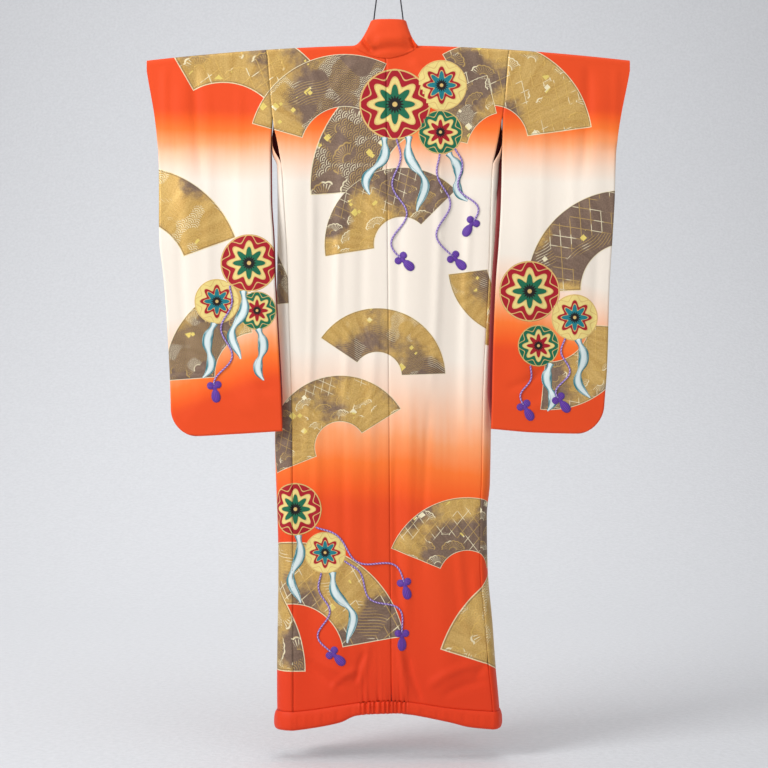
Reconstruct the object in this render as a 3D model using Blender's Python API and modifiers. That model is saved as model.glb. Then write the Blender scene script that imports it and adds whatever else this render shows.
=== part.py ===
"""Long-sleeved kimono on a curved hanging rod, carried by one doubled cord.

Units are metres and +Z is up. The origin is the top of the cord, where a hook carries it.
The back of the garment faces -Y and the wearer's right is +X, so the fronts are at +Y.
In the tables and functions "out" is the distance from the middle of the garment towards
one sleeve, so a panel that passes the middle has a negative "out".
"""

import math
from typing import NamedTuple

import bmesh
import bpy
from mathutils import Vector

# Cloth, seams and rod
CLOTH = 0.002
SEAM_GAP = 0.0003
ROD_RADIUS = 0.008
ROD_SEAT = 0.0005
FOLD_RADIUS = ROD_RADIUS + ROD_SEAT + CLOTH
ROD_HALF_LENGTH = 0.594
ROD_STATIONS = 25

# Line of the shoulders, which falls towards the cuffs
SHOULDER_Z = -0.2995
CUFF_OUT = 0.606
SHOULDER_FALL = 0.0385
SHOULDER_BEND = 1.8
SHOULDER_SPREAD = 0.004
SPREAD_DROP = 0.17

# Heights where seams begin and end
ARMHOLE_Z = -0.470
SIDE_SEAM_Z = -0.603
OVERLAP_TIP_Z = -0.536
OVERLAP_TOP_Z = -0.603
COLLAR_END_Z = -1.13
COLLAR_END_SLANT = 0.004
CUFF_END_Z = -0.565
CUFF_CLOSING = 0.03

# Neck and collar
NECK_MIDDLE = -0.006
NECK_HALF_WIDTH = 0.0835
NECK_BACK_DROP = 0.033
BAND_BOW = 0.008

# Middle seam of the back at the hem, and where the hem's own slope begins
MIDDLE_HEM_X = 0.008
HEM_Z = -1.96
HEM_SLOPE_TOP_Z = -1.60

# Fronts: the left one lies over the right one
LAYER_LIFT = 0.016
LIFT_START_OUT = 0.10
LIFT_TOP_Z = -0.47
LIFT_RUN = 0.2
SIDE_SHARE = 0.45

# Share of a fold's length over which it fades at each end
FOLD_FADE = 0.15

# Padded roll along the hem
ROLL_HALF = 0.006
ROLL_GAP = 0.0008
GATHER_FROM_X = -0.079
GATHER_TO_X = 0.054
GATHERS = 12
GATHER_DEPTH = 0.0016
GATHER_FADE = 0.25
STATIONS_PER_GATHER = 4
ROLL_BACK_STEPS = 7
ROLL_FRONT_STEPS = 22

# Sleeve bag
SLEEVE_EDGE = 0.0055
SLEEVE_HALF = 0.0095
SLEEVE_SWELL = 0.08
SLEEVE_CORNER = 0.065
CORNER_SHARE = 0.50
SLEEVE_OUTER_Y = -0.044
SLEEVE_CLEAR = 0.006
SLEEVE_SWING_TOP_Z = -0.50
SLEEVE_SWING_LOW_Z = -0.82
SLEEVE_THINNING_RUN = 0.15
SLEEVE_INNER_SHARE = 0.25
SLEEVE_SLOPE_END_Z = -0.60
SLEEVE_SLOPE_RUN = 0.25
SLEEVE_HEM_SLOPE_Z = -0.95
SLEEVE_HEM_SIDE_Z = -1.2

# Cord, a loop from the rod over the hook and back
CORD_RADIUS = 0.00175
CORD_FOOT_X = 0.040
CORD_POINTS = 56
CURVE_STEPS = 20

# Sides of the round pieces, and the distance under which points are one
ROD_SIDES = 12
CORD_SIDES = 8
TIE_STEPS = 16
WELD = 0.00002

# Columns and rows of the cloth grids
NECK_SHARES = (0.0, 0.50, 0.82, 0.917, 0.978)
SIDE_COLUMNS = 6
PLANE_COLUMNS = 4
OVERLAP_COLUMNS = 4
OVERLAP_ROUNDS = 3
COLLAR_COLUMNS = 4
FOLD_ANGLES = (0, 30, 60, 90)
BODY_LEVELS = (
    -0.345, -0.385, -0.430, ARMHOLE_Z, -0.503, OVERLAP_TIP_Z, -0.570, SIDE_SEAM_Z,
    -0.660, -0.730, -0.810, -0.900, -1.000, COLLAR_END_Z, -1.250, -1.380, -1.510,
    -1.630, -1.740, -1.830, -1.900,
)
SLEEVE_LEVELS = (-0.385, -0.430, ARMHOLE_Z, -0.510, -0.550, -0.580, -0.630, -0.700,
                 -0.780, -0.860, -0.940, -1.020, -1.090, -1.150)
SLEEVE_HEIGHTS_OVER_HEM = (0.065, 0.042, 0.022, 0.011, 0.0055, 0.0020, 0.0)
SLEEVE_SHARES = (0.0, 0.13, 0.26, 0.39, 0.52, 0.65, 0.78, 0.89)
SLEEVE_EDGE_INSETS = (0.0055, 0.0020, 0.0)


class SideRow(NamedTuple):
    """One height of a side: ends of the back, start of the front's turn, widest point."""

    z: float
    back: float
    turn: float
    side: float


class LineRow(NamedTuple):
    """One height of a front: overlap seam, collar seam and free edge."""

    z: float
    seam: float
    collar: float
    edge: float


class DepthRow(NamedTuple):
    """One height of the body: how far back and front stand off the fold's own depth."""

    z: float
    back: float
    front: float


class HemRow(NamedTuple):
    """One place along a hem: stitch line and lowest point of the padded roll."""

    out: float
    stitch: float
    low: float


class SleeveRow(NamedTuple):
    """One height of a sleeve: its open inner edge and its outer edge."""

    z: float
    inner: float
    outer: float


class SleeveHemRow(NamedTuple):
    """One place along a sleeve's lower edge."""

    out: float
    z: float


class NeckRow(NamedTuple):
    """One section of the collar around the neck: its upper edge and the sag of its middle."""

    place: float
    edge_out: float
    edge_y: float
    edge_z: float
    sag: float


class RollRow(NamedTuple):
    """One point of the roll's section: share of its height and of its half thickness."""

    height: float
    width: float


class Fold(NamedTuple):
    """One soft fold: its two ends, its width and how far it stands out."""

    x_top: float
    z_top: float
    x_low: float
    z_low: float
    width: float
    depth: float


LEFT_SIDE = (
    SideRow(-0.300, 0.3060, 0.3060, 0.3060),
    SideRow(-0.470, 0.2915, 0.2915, 0.2930),
    SideRow(-0.503, 0.2875, 0.2770, 0.2885),
    SideRow(-0.540, 0.2790, 0.2690, 0.2845),
    SideRow(-0.603, 0.2680, 0.2680, 0.2800),
    SideRow(-0.690, 0.2620, 0.2620, 0.2785),
    SideRow(-0.800, 0.2550, 0.2550, 0.2790),
    SideRow(-1.000, 0.2480, 0.2480, 0.2820),
    SideRow(-1.270, 0.2410, 0.2410, 0.2855),
    SideRow(-1.600, 0.2390, 0.2390, 0.2770),
    SideRow(-1.900, 0.2380, 0.2380, 0.2805),
    SideRow(-2.020, 0.2375, 0.2375, 0.2790),
)
RIGHT_SIDE = (
    SideRow(-0.300, 0.3020, 0.3020, 0.3020),
    SideRow(-0.470, 0.2875, 0.2875, 0.2890),
    SideRow(-0.503, 0.2810, 0.2720, 0.2845),
    SideRow(-0.540, 0.2740, 0.2650, 0.2820),
    SideRow(-0.603, 0.2610, 0.2610, 0.2775),
    SideRow(-0.860, 0.2520, 0.2520, 0.2705),
    SideRow(-1.190, 0.2360, 0.2360, 0.2590),
    SideRow(-1.400, 0.2320, 0.2320, 0.2550),
    SideRow(-1.480, 0.2290, 0.2290, 0.2475),
    SideRow(-1.600, 0.2290, 0.2290, 0.2490),
    SideRow(-1.750, 0.2410, 0.2410, 0.2615),
    SideRow(-1.860, 0.2500, 0.2500, 0.2695),
    SideRow(-1.970, 0.2600, 0.2600, 0.2790),
    SideRow(-2.020, 0.2610, 0.2610, 0.2810),
)
LEFT_LINES = (
    LineRow(OVERLAP_TIP_Z, 0.0895, 0.0895, 0.0295),
    LineRow(COLLAR_END_Z, 0.0960, 0.0250, -0.0350),
    LineRow(HEM_Z, 0.1050, 0.0250, -0.0500),
)
RIGHT_LINES = (
    LineRow(OVERLAP_TIP_Z, 0.0775, 0.0775, 0.0175),
    LineRow(COLLAR_END_Z, 0.1120, 0.0880, 0.0280),
    LineRow(HEM_Z, 0.1600, 0.0880, 0.0350),
)
DEPTHS = (
    DepthRow(-0.470, 0.000, 0.000),
    DepthRow(-0.603, 0.006, 0.008),
    DepthRow(-0.800, 0.013, 0.020),
    DepthRow(-1.100, 0.018, 0.028),
    DepthRow(-1.500, 0.021, 0.034),
    DepthRow(-2.020, 0.027, 0.042),
)
LEFT_BACK_HEM = (
    HemRow(-0.020, -1.9400, -1.9700),
    HemRow(0.045, -1.9420, -1.9720),
    HemRow(0.080, -1.9460, -1.9755),
    HemRow(0.121, -1.9520, -1.9925),
    HemRow(0.200, -1.9640, -2.0080),
    HemRow(0.280, -1.9715, -2.0175),
)
RIGHT_BACK_HEM = (
    HemRow(-0.020, -1.9400, -1.9700),
    HemRow(0.036, -1.9420, -1.9700),
    HemRow(0.070, -1.9460, -1.9755),
    HemRow(0.156, -1.9590, -1.9930),
    HemRow(0.201, -1.9630, -2.0040),
    HemRow(0.280, -1.9680, -2.0115),
)
LEFT_FRONT_HEM = (
    HemRow(-0.060, -1.9280, -1.9620),
    HemRow(0.050, -1.9320, -1.9670),
    HemRow(0.121, -1.9440, -1.9840),
    HemRow(0.200, -1.9600, -2.0030),
    HemRow(0.280, -1.9715, -2.0175),
)
RIGHT_FRONT_HEM = (
    HemRow(0.035, -1.9520, -1.9890),
    HemRow(0.100, -1.9570, -1.9960),
    HemRow(0.204, -1.9650, -2.0080),
    HemRow(0.280, -1.9680, -2.0115),
)
LEFT_SLEEVE = (
    SleeveRow(-0.338, 0.3050, 0.6060),
    SleeveRow(-0.470, 0.2915, 0.5860),
    SleeveRow(-0.575, 0.2950, 0.5770),
    SleeveRow(-0.690, 0.2930, 0.5730),
    SleeveRow(-0.790, 0.2860, 0.5705),
    SleeveRow(-0.885, 0.2825, 0.5600),
    SleeveRow(-1.050, 0.2735, 0.5480),
    SleeveRow(-1.165, 0.2670, 0.5425),
    SleeveRow(-1.275, 0.2630, 0.5405),
)
RIGHT_SLEEVE = (
    SleeveRow(-0.338, 0.3010, 0.6050),
    SleeveRow(-0.470, 0.2875, 0.5820),
    SleeveRow(-0.550, 0.2850, 0.5725),
    SleeveRow(-0.690, 0.2805, 0.5645),
    SleeveRow(-0.790, 0.2745, 0.5570),
    SleeveRow(-0.905, 0.2660, 0.5500),
    SleeveRow(-1.105, 0.2580, 0.5435),
    SleeveRow(-1.200, 0.2560, 0.5365),
    SleeveRow(-1.275, 0.2540, 0.5330),
)
LEFT_SLEEVE_HEM = (
    SleeveHemRow(0.262, -1.2670),
    SleeveHemRow(0.388, -1.2750),
    SleeveHemRow(0.491, -1.2800),
    SleeveHemRow(0.545, -1.2780),
)
RIGHT_SLEEVE_HEM = (
    SleeveHemRow(0.253, -1.2615),
    SleeveHemRow(0.369, -1.2710),
    SleeveHemRow(0.474, -1.2735),
    SleeveHemRow(0.536, -1.2700),
)
NAPE_ROWS = (
    NeckRow(0.000, 0.0000, -0.0210, -0.2375, 0.000),
    NeckRow(0.500, 0.0180, -0.0200, -0.2375, 0.000),
    NeckRow(0.820, 0.0330, -0.0150, -0.2375, 0.004),
    NeckRow(0.917, 0.0400, -0.0090, -0.2380, 0.008),
    NeckRow(0.978, 0.0440, -0.0010, -0.2390, 0.012),
)
SHOULDER_ROWS = (
    NeckRow(0, 0.0455, 0.0060, -0.2405, 0.014),
    NeckRow(30, 0.0458, 0.0120, -0.2440, 0.013),
    NeckRow(60, 0.0455, 0.0175, -0.2485, 0.012),
    NeckRow(90, 0.0450, 0.0225, -0.2550, 0.010),
)
CHEST_ROWS = (
    NeckRow(0.00, 0.0430, 0.0320, -0.2920, 0.006),
    NeckRow(0.33, 0.0430, 0.0340, -0.3470, 0.002),
    NeckRow(0.67, 0.0430, 0.0260, -0.4120, 0.000),
)
ROLL_SECTION = (
    RollRow(0.00, 0.20),
    RollRow(0.10, 0.58),
    RollRow(0.35, 0.92),
    RollRow(0.68, 1.00),
    RollRow(0.92, 0.70),
    RollRow(1.00, 0.00),
)
BACK_FOLDS = (
    Fold(-0.235, -0.620, -0.215, -1.200, 0.034, 0.006),
    Fold(-0.135, -0.420, -0.170, -1.050, 0.040, -0.005),
    Fold(0.070, -0.480, 0.060, -1.300, 0.045, 0.005),
    Fold(0.185, -0.560, 0.165, -1.350, 0.038, -0.006),
    Fold(-0.080, -1.150, -0.120, -1.900, 0.042, 0.005),
    Fold(0.110, -1.450, 0.150, -1.900, 0.036, 0.006),
    Fold(-0.205, -1.500, -0.190, -1.900, 0.034, -0.005),
)
FRONT_FOLDS = (
    Fold(-0.180, -0.560, -0.160, -1.600, 0.042, 0.006),
    Fold(0.150, -0.600, 0.190, -1.700, 0.040, 0.007),
    Fold(0.110, -1.000, 0.105, -1.850, 0.030, -0.006),
    Fold(-0.090, -0.900, -0.060, -1.800, 0.034, -0.005),
)
SLEEVE_FOLDS = (
    Fold(-0.520, -0.400, -0.500, -0.760, 0.030, 0.004),
    Fold(-0.420, -0.560, -0.395, -1.180, 0.038, -0.0035),
    Fold(-0.345, -0.640, -0.330, -1.200, 0.030, 0.0030),
    Fold(0.535, -0.400, 0.510, -0.780, 0.030, 0.004),
    Fold(0.430, -0.520, 0.400, -1.150, 0.038, -0.0035),
    Fold(0.340, -0.660, 0.330, -1.200, 0.030, 0.0030),
)
CORD_ROUTE = (
    (0.0000, 0.0000, -0.0020),
    (0.0050, 0.0000, -0.0040),
    (0.0085, 0.0000, -0.0110),
    (0.0125, 0.0000, -0.0400),
    (0.0200, 0.0000, -0.1050),
    (0.0290, 0.0000, -0.1750),
    (0.0368, 0.0000, -0.2375),
    (0.0395, 0.0000, -0.2700),
)


class Half(NamedTuple):
    """Everything that differs between the wearer's left and right."""

    name: str
    sign: int
    side: tuple
    lines: tuple
    back_hem: tuple
    front_hem: tuple
    sleeve: tuple
    sleeve_hem: tuple
    lift: float


LEFT = Half("left", -1, LEFT_SIDE, LEFT_LINES, LEFT_BACK_HEM, LEFT_FRONT_HEM,
            LEFT_SLEEVE, LEFT_SLEEVE_HEM, LAYER_LIFT)
RIGHT = Half("right", 1, RIGHT_SIDE, RIGHT_LINES, RIGHT_BACK_HEM, RIGHT_FRONT_HEM,
             RIGHT_SLEEVE, RIGHT_SLEEVE_HEM, 0.0)


def mix(start, end, share):
    """Value between start and end."""
    return start + (end - start) * share


def ease(share):
    """Soft step from 0 to 1."""
    share = min(1.0, max(0.0, share))
    return share * share * (3.0 - 2.0 * share)


def straight(rows, column, z):
    """Value of a named column, on straight lines between rows that go down."""
    z = max(min(z, rows[0].z), rows[-1].z)
    upper, lower = next(pair for pair in zip(rows, rows[1:]) if z >= pair[1].z)
    share = (z - upper.z) / (lower.z - upper.z)
    return mix(getattr(upper, column), getattr(lower, column), share)


def curved(rows, column, at):
    """Value of a named column, on a smooth curve through the rows that never overshoots."""
    places = [row[0] for row in rows]
    values = [getattr(row, column) for row in rows]
    step = 1.0 if places[-1] > places[0] else -1.0
    if (at - places[0]) * step <= 0.0:
        return values[0]
    if (at - places[-1]) * step >= 0.0:
        return values[-1]
    index = next(i for i in range(len(rows) - 1) if (at - places[i + 1]) * step <= 0.0)
    secants = [(values[i + 1] - values[i]) / (places[i + 1] - places[i])
               for i in range(len(rows) - 1)]

    def slope(i):
        if i in (0, len(rows) - 1):
            return secants[min(i, len(secants) - 1)]
        before, after = secants[i - 1], secants[i]
        return 0.0 if before * after <= 0.0 else 2.0 * before * after / (before + after)

    width = places[index + 1] - places[index]
    t = (at - places[index]) / width
    return ((2 * t ** 3 - 3 * t ** 2 + 1) * values[index]
            + (t ** 3 - 2 * t ** 2 + t) * width * slope(index)
            + (3 * t ** 2 - 2 * t ** 3) * values[index + 1]
            + (t ** 3 - t ** 2) * width * slope(index + 1))


def ridge_z(x):
    """Top of the cloth where it folds over the rod."""
    return SHOULDER_Z - SHOULDER_FALL * (abs(x) / CUFF_OUT) ** SHOULDER_BEND


def middle_x(z):
    """Middle seam of the back."""
    return mix(NECK_MIDDLE, MIDDLE_HEM_X, (z - SHOULDER_Z) / (HEM_Z - SHOULDER_Z))


def half_depth(drop):
    """Half the depth of the cloth that hangs from the fold, at a drop below the ridge."""
    if drop < FOLD_RADIUS:
        return math.sqrt(max(0.0, FOLD_RADIUS ** 2 - (FOLD_RADIUS - drop) ** 2))
    return FOLD_RADIUS + SHOULDER_SPREAD * ease(drop / SPREAD_DROP)


def fold_height(folds, x, z):
    """Sum of the soft folds at a point, positive where the cloth stands out."""
    height = 0.0
    for fold in folds:
        along = (z - fold.z_top) / (fold.z_low - fold.z_top)
        across = (x - mix(fold.x_top, fold.x_low, along)) / fold.width
        near_end = min(along, 1.0 - along)
        fade = ease((near_end + FOLD_FADE) / (2.0 * FOLD_FADE))
        height += fold.depth * fade * math.exp(-across * across)
    return height


def back_y(x, z):
    """Outer face of the back."""
    depth = half_depth(ridge_z(x) - z) + curved(DEPTHS, "back", z)
    return -depth - fold_height(BACK_FOLDS, x, z)


def front_y(half, x, z):
    """Outer face of a front."""
    out = half.sign * x
    depth = half_depth(ridge_z(x) - z) + curved(DEPTHS, "front", z)
    lift = half.lift * ease((LIFT_START_OUT - out) / LIFT_START_OUT)
    lift *= ease((LIFT_TOP_Z - z) / LIFT_RUN)
    return depth + lift + fold_height(FRONT_FOLDS, x, z)


def neck_z(x):
    """Neckline of the back, lowest in the middle."""
    share = min(1.0, abs(x - NECK_MIDDLE) / NECK_HALF_WIDTH)
    return mix(ridge_z(x) - NECK_BACK_DROP, ridge_z(x), share ** 2)


def edge_angle(z):
    """Where the front's side edge stands on its turn: 90 in front, -90 at the back."""
    return 90.0 - 180.0 * ease((ARMHOLE_Z - z) / (ARMHOLE_Z - SIDE_SEAM_Z))


def turn_out(half, z):
    """Where the front begins to turn towards the back."""
    sewn = z <= SIDE_SEAM_Z or z >= ARMHOLE_Z
    return curved(half.side, "back" if sewn else "turn", z)


def turn_length(half, z):
    """Length of the front's turn around the side, with its two radii and middle depth."""
    start = turn_out(half, z)
    x = half.sign * start
    wide = curved(half.side, "side", z) - start
    deep = (front_y(half, x, z) - back_y(x, z)) / 2.0
    middle = (front_y(half, x, z) + back_y(x, z)) / 2.0
    length = math.radians(90.0 - edge_angle(z)) * math.sqrt((wide ** 2 + deep ** 2) / 2.0)
    return length, start, wide, deep, middle


def front_point(half, z, along):
    """Point of a front at a height and a distance from its side edge."""
    length, start, wide, deep, middle = turn_length(half, z)
    if along < length:
        angle = math.radians(mix(edge_angle(z), 90.0, along / length))
        out = start + wide * math.cos(angle)
        return Vector((half.sign * out, middle + deep * math.sin(angle), z))
    x = half.sign * (start - (along - length))
    return Vector((x, front_y(half, x, z), z))


def front_columns(half, z, inner):
    """Distances from the side edge of the front's columns, close together on the turn."""
    length, start = turn_length(half, z)[:2]
    total = length + start - inner
    dense = max(length, SIDE_SHARE * total)
    columns = [dense * i / SIDE_COLUMNS for i in range(SIDE_COLUMNS)]
    return columns + [mix(dense, total, i / PLANE_COLUMNS) for i in range(PLANE_COLUMNS + 1)]


def front_inner(half, z):
    """Inner edge of a front: the neckline, and below its tip the overlap's seam."""
    if z > OVERLAP_TIP_Z:
        return half.sign * NECK_MIDDLE + NECK_HALF_WIDTH
    return straight(half.lines, "seam", z)


def level_z(level, top, hem, side_hem):
    """A row's height in one column: rows bend with the shoulder and with the hem."""
    upper = BODY_LEVELS[0]
    shift = (top - SHOULDER_Z) * ease((level - ARMHOLE_Z) / (upper - ARMHOLE_Z))
    slope = ease((level - HEM_SLOPE_TOP_Z) / (side_hem - HEM_SLOPE_TOP_Z))
    lower = (hem - side_hem) * slope
    return level + shift + lower


def body_rows(half, x, top, hem, side_hem):
    """Heights of all rows in one column of a body panel."""
    heights = [top - FOLD_RADIUS * (1.0 - math.cos(math.radians(a))) for a in FOLD_ANGLES]
    heights += [level_z(level, min(top, ridge_z(x)), hem, side_hem) for level in BODY_LEVELS]
    return heights + [hem]


def shoulder_shares():
    """Shares of a shoulder's width at its columns, from the neck to the side."""
    plane = [mix(0.0, 1.0 - SIDE_SHARE, i / PLANE_COLUMNS) for i in range(PLANE_COLUMNS)]
    dense = [mix(1.0 - SIDE_SHARE, 1.0, i / SIDE_COLUMNS) for i in range(SIDE_COLUMNS + 1)]
    return plane + dense


def side_hem_z(half):
    """Stitch line at the side seam, where back and front share it."""
    return curved(half.back_hem, "stitch", curved(half.side, "back", HEM_Z))


def back_grid(half):
    """Rows of points of one back panel, from its top down, middle seam first."""
    middle_out = half.sign * NECK_MIDDLE
    edge_out = half.side[0].back
    tops = [mix(middle_out + SEAM_GAP / 2.0, middle_out + NECK_HALF_WIDTH, s)
            for s in NECK_SHARES]
    tops += [mix(middle_out + NECK_HALF_WIDTH, edge_out, s) for s in shoulder_shares()]
    side_hem = side_hem_z(half)
    columns = []
    for out in tops:
        share = (out - tops[0]) / (tops[-1] - tops[0])
        x_top = half.sign * out
        top = neck_z(x_top) if out < middle_out + NECK_HALF_WIDTH else ridge_z(x_top)
        middle_hem = half.sign * MIDDLE_HEM_X
        hem_out = mix(middle_hem, curved(half.side, "back", HEM_Z), share)
        hem = curved(half.back_hem, "stitch", hem_out)
        column = []
        for index, z in enumerate(body_rows(half, x_top, top, hem, side_hem)):
            inner = half.sign * middle_x(z) + SEAM_GAP / 2.0
            x = half.sign * mix(inner, curved(half.side, "back", z), share)
            if index < len(FOLD_ANGLES):
                x = x_top
            column.append(Vector((x, back_y(x, z), z)))
        columns.append(column)
    return [list(row) for row in zip(*columns)]


def front_grid(half):
    """Rows of points of one front panel, from its top down, side edge first."""
    middle_out = half.sign * NECK_MIDDLE
    edge_out = half.side[0].back
    side_hem = side_hem_z(half)
    columns = []
    for number, share in enumerate(reversed(shoulder_shares())):
        x_top = half.sign * mix(middle_out + NECK_HALF_WIDTH, edge_out, share)
        top = ridge_z(x_top)
        length, start = turn_length(half, HEM_Z)[:2]
        along = front_columns(half, HEM_Z, front_inner(half, HEM_Z))[number]
        hem_out = start - max(0.0, along - length)
        hem = mix(side_hem, curved(half.front_hem, "stitch", hem_out), ease(along / length))
        column = []
        for index, z in enumerate(body_rows(half, x_top, top, hem, side_hem)):
            if index < len(FOLD_ANGLES):
                angle = math.radians(FOLD_ANGLES[index])
                column.append(Vector((x_top, FOLD_RADIUS * math.sin(angle), z)))
                continue
            along = front_columns(half, z, front_inner(half, z))[number]
            column.append(front_point(half, z, along))
        columns.append(column)
    return [list(row) for row in zip(*columns)]


def overlap_grid(half):
    """Rows of points of one overlap panel, seam to the front first."""
    side_hem = side_hem_z(half)
    levels = [z for z in BODY_LEVELS if z <= OVERLAP_TOP_Z]
    beside_collar = [z for z in levels if z >= COLLAR_END_Z]
    below_collar = [COLLAR_END_Z - COLLAR_END_SLANT, *(z for z in levels if z < COLLAR_END_Z)]
    rows = [overlap_row(half, level, "collar", side_hem) for level in beside_collar]
    rows += [overlap_row(half, level, "edge", side_hem) for level in below_collar]
    return rows + [overlap_row(half, None, "edge", side_hem)]


def overlap_row(half, level, outer, side_hem):
    """One row of an overlap panel, from the overlap seam to the collar seam or free edge.

    With no level it is the hem row. Height and place across depend on each other, so both
    are settled in a few rounds.
    """
    row = []
    for i in range(OVERLAP_COLUMNS + 1):
        at = HEM_Z if level is None else level
        for _ in range(OVERLAP_ROUNDS):
            start = straight(half.lines, "seam", at) - SEAM_GAP
            end = straight(half.lines, outer, at) + (SEAM_GAP if outer == "collar" else 0.0)
            out = mix(start, end, i / OVERLAP_COLUMNS)
            hem = curved(half.front_hem, "stitch", out)
            at = hem if level is None else level_z(level, SHOULDER_Z, hem, side_hem)
        x = half.sign * out
        row.append(Vector((x, front_y(half, x, at), at)))
    return row


def collar_sections(half):
    """Seam and free edge of one half of the collar, from the nape to its lower end."""
    middle_out = half.sign * NECK_MIDDLE
    neck_out = middle_out + NECK_HALF_WIDTH
    sections = []
    for row in NAPE_ROWS:
        x = half.sign * mix(middle_out, neck_out, row.place)
        z = neck_z(x)
        seam = Vector((x, back_y(x, z), z + SEAM_GAP))
        sections.append((seam, Vector((half.sign * row.edge_out, row.edge_y, row.edge_z)),
                         Vector((0.0, -BAND_BOW, -row.sag))))
    inside = half.sign * (neck_out - SEAM_GAP)
    for row in SHOULDER_ROWS:
        angle = math.radians(row.place)
        z = ridge_z(neck_out) - FOLD_RADIUS * (1.0 - math.cos(angle))
        seam = Vector((inside, FOLD_RADIUS * math.sin(angle), z + SEAM_GAP * math.cos(angle)))
        sections.append((seam, Vector((half.sign * row.edge_out, row.edge_y, row.edge_z)),
                         Vector((0.0, 0.0, -row.sag))))
    top = ridge_z(neck_out)
    for row, level in zip(CHEST_ROWS, BODY_LEVELS):
        z = level_z(level, top, HEM_Z, HEM_Z)
        seam = Vector((inside, front_y(half, inside, z), z))
        edge_out = mix(row.edge_out, half.lines[0].edge, row.place)
        sections.append((seam, Vector((half.sign * edge_out, row.edge_y, row.edge_z)),
                         Vector((0.0, 0.0, -row.sag))))
    for level in BODY_LEVELS[len(CHEST_ROWS):BODY_LEVELS.index(COLLAR_END_Z) + 1]:
        seam_out = straight(half.lines, "collar", level) - SEAM_GAP
        edge_out = straight(half.lines, "edge", level)
        end = SEAM_GAP if level == COLLAR_END_Z else 0.0
        slant = COLLAR_END_SLANT if level == COLLAR_END_Z else 0.0
        points = []
        for out, z in ((seam_out, level + end), (edge_out, level + end - slant)):
            x = half.sign * out
            points.append(Vector((x, front_y(half, x, z), z)))
        sections.append((points[0], points[1], Vector((0.0, 0.0, 0.0))))
    return sections


def collar_grid():
    """Rows of points of the whole collar, from its left end round the nape to its right."""
    sections = list(reversed(collar_sections(LEFT)))[:-1] + collar_sections(RIGHT)
    rows = []
    for seam, edge, bow in sections:
        row = []
        for i in range(COLLAR_COLUMNS + 1):
            share = i / COLLAR_COLUMNS
            row.append(seam.lerp(edge, share) + bow * 4.0 * share * (1.0 - share))
        rows.append(row)
    return rows


def sleeve_half(z, drop, inset, over_hem, share):
    """Half the depth of a sleeve bag at a point: thin at its closed edges."""
    hanging = half_depth(drop)
    inner = mix(hanging, SLEEVE_HALF, ease((ARMHOLE_Z - z) / SLEEVE_THINNING_RUN))
    depth = mix(inner, min(hanging, SLEEVE_HALF), ease(share / SLEEVE_INNER_SHARE))
    closed = ease((CUFF_END_Z + CUFF_CLOSING - z) / CUFF_CLOSING)
    side = mix(depth, edge_depth(inset, depth), closed)
    return min(side, edge_depth(over_hem, depth))


def edge_depth(distance, full):
    """Half depth near a closed edge: a small round, then a slow swell to the full depth."""
    if distance < SLEEVE_EDGE:
        return math.sqrt(max(0.0, SLEEVE_EDGE ** 2 - (SLEEVE_EDGE - distance) ** 2))
    return mix(SLEEVE_EDGE, full, ease((distance - SLEEVE_EDGE) / SLEEVE_SWELL))


def sleeve_middle(half, z, share):
    """Middle plane of a sleeve, which swings behind the body's side lower down."""
    x = half.sign * curved(half.sleeve, "inner", z)
    behind = back_y(x, z) - SLEEVE_HALF - SLEEVE_CLEAR
    swing = ease((SLEEVE_SWING_TOP_Z - z) / (SLEEVE_SWING_TOP_Z - SLEEVE_SWING_LOW_Z))
    return swing * mix(behind, SLEEVE_OUTER_Y, share)


def sleeve_layers(half):
    """Two grids of points, back layer and front layer, from the ridge down."""
    shares = list(SLEEVE_SHARES)
    side_out = curved(half.sleeve, "inner", SLEEVE_HEM_SIDE_Z)
    hem_z = curved(half.sleeve_hem, "z", side_out)
    levels = list(SLEEVE_LEVELS) + [hem_z + h for h in SLEEVE_HEIGHTS_OVER_HEM]
    back, front = [], []
    for index in range(len(FOLD_ANGLES) + len(levels)):
        rows = ([], [])
        for number in range(len(shares) + len(SLEEVE_EDGE_INSETS)):
            point = sleeve_point(half, index, number, levels, hem_z)
            for row, y in zip(rows, (point[1] - point[3], point[1] + point[3])):
                row.append(Vector((point[0], y, point[2])))
        back.append(rows[0])
        front.append(rows[1])
    return back, front


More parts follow.
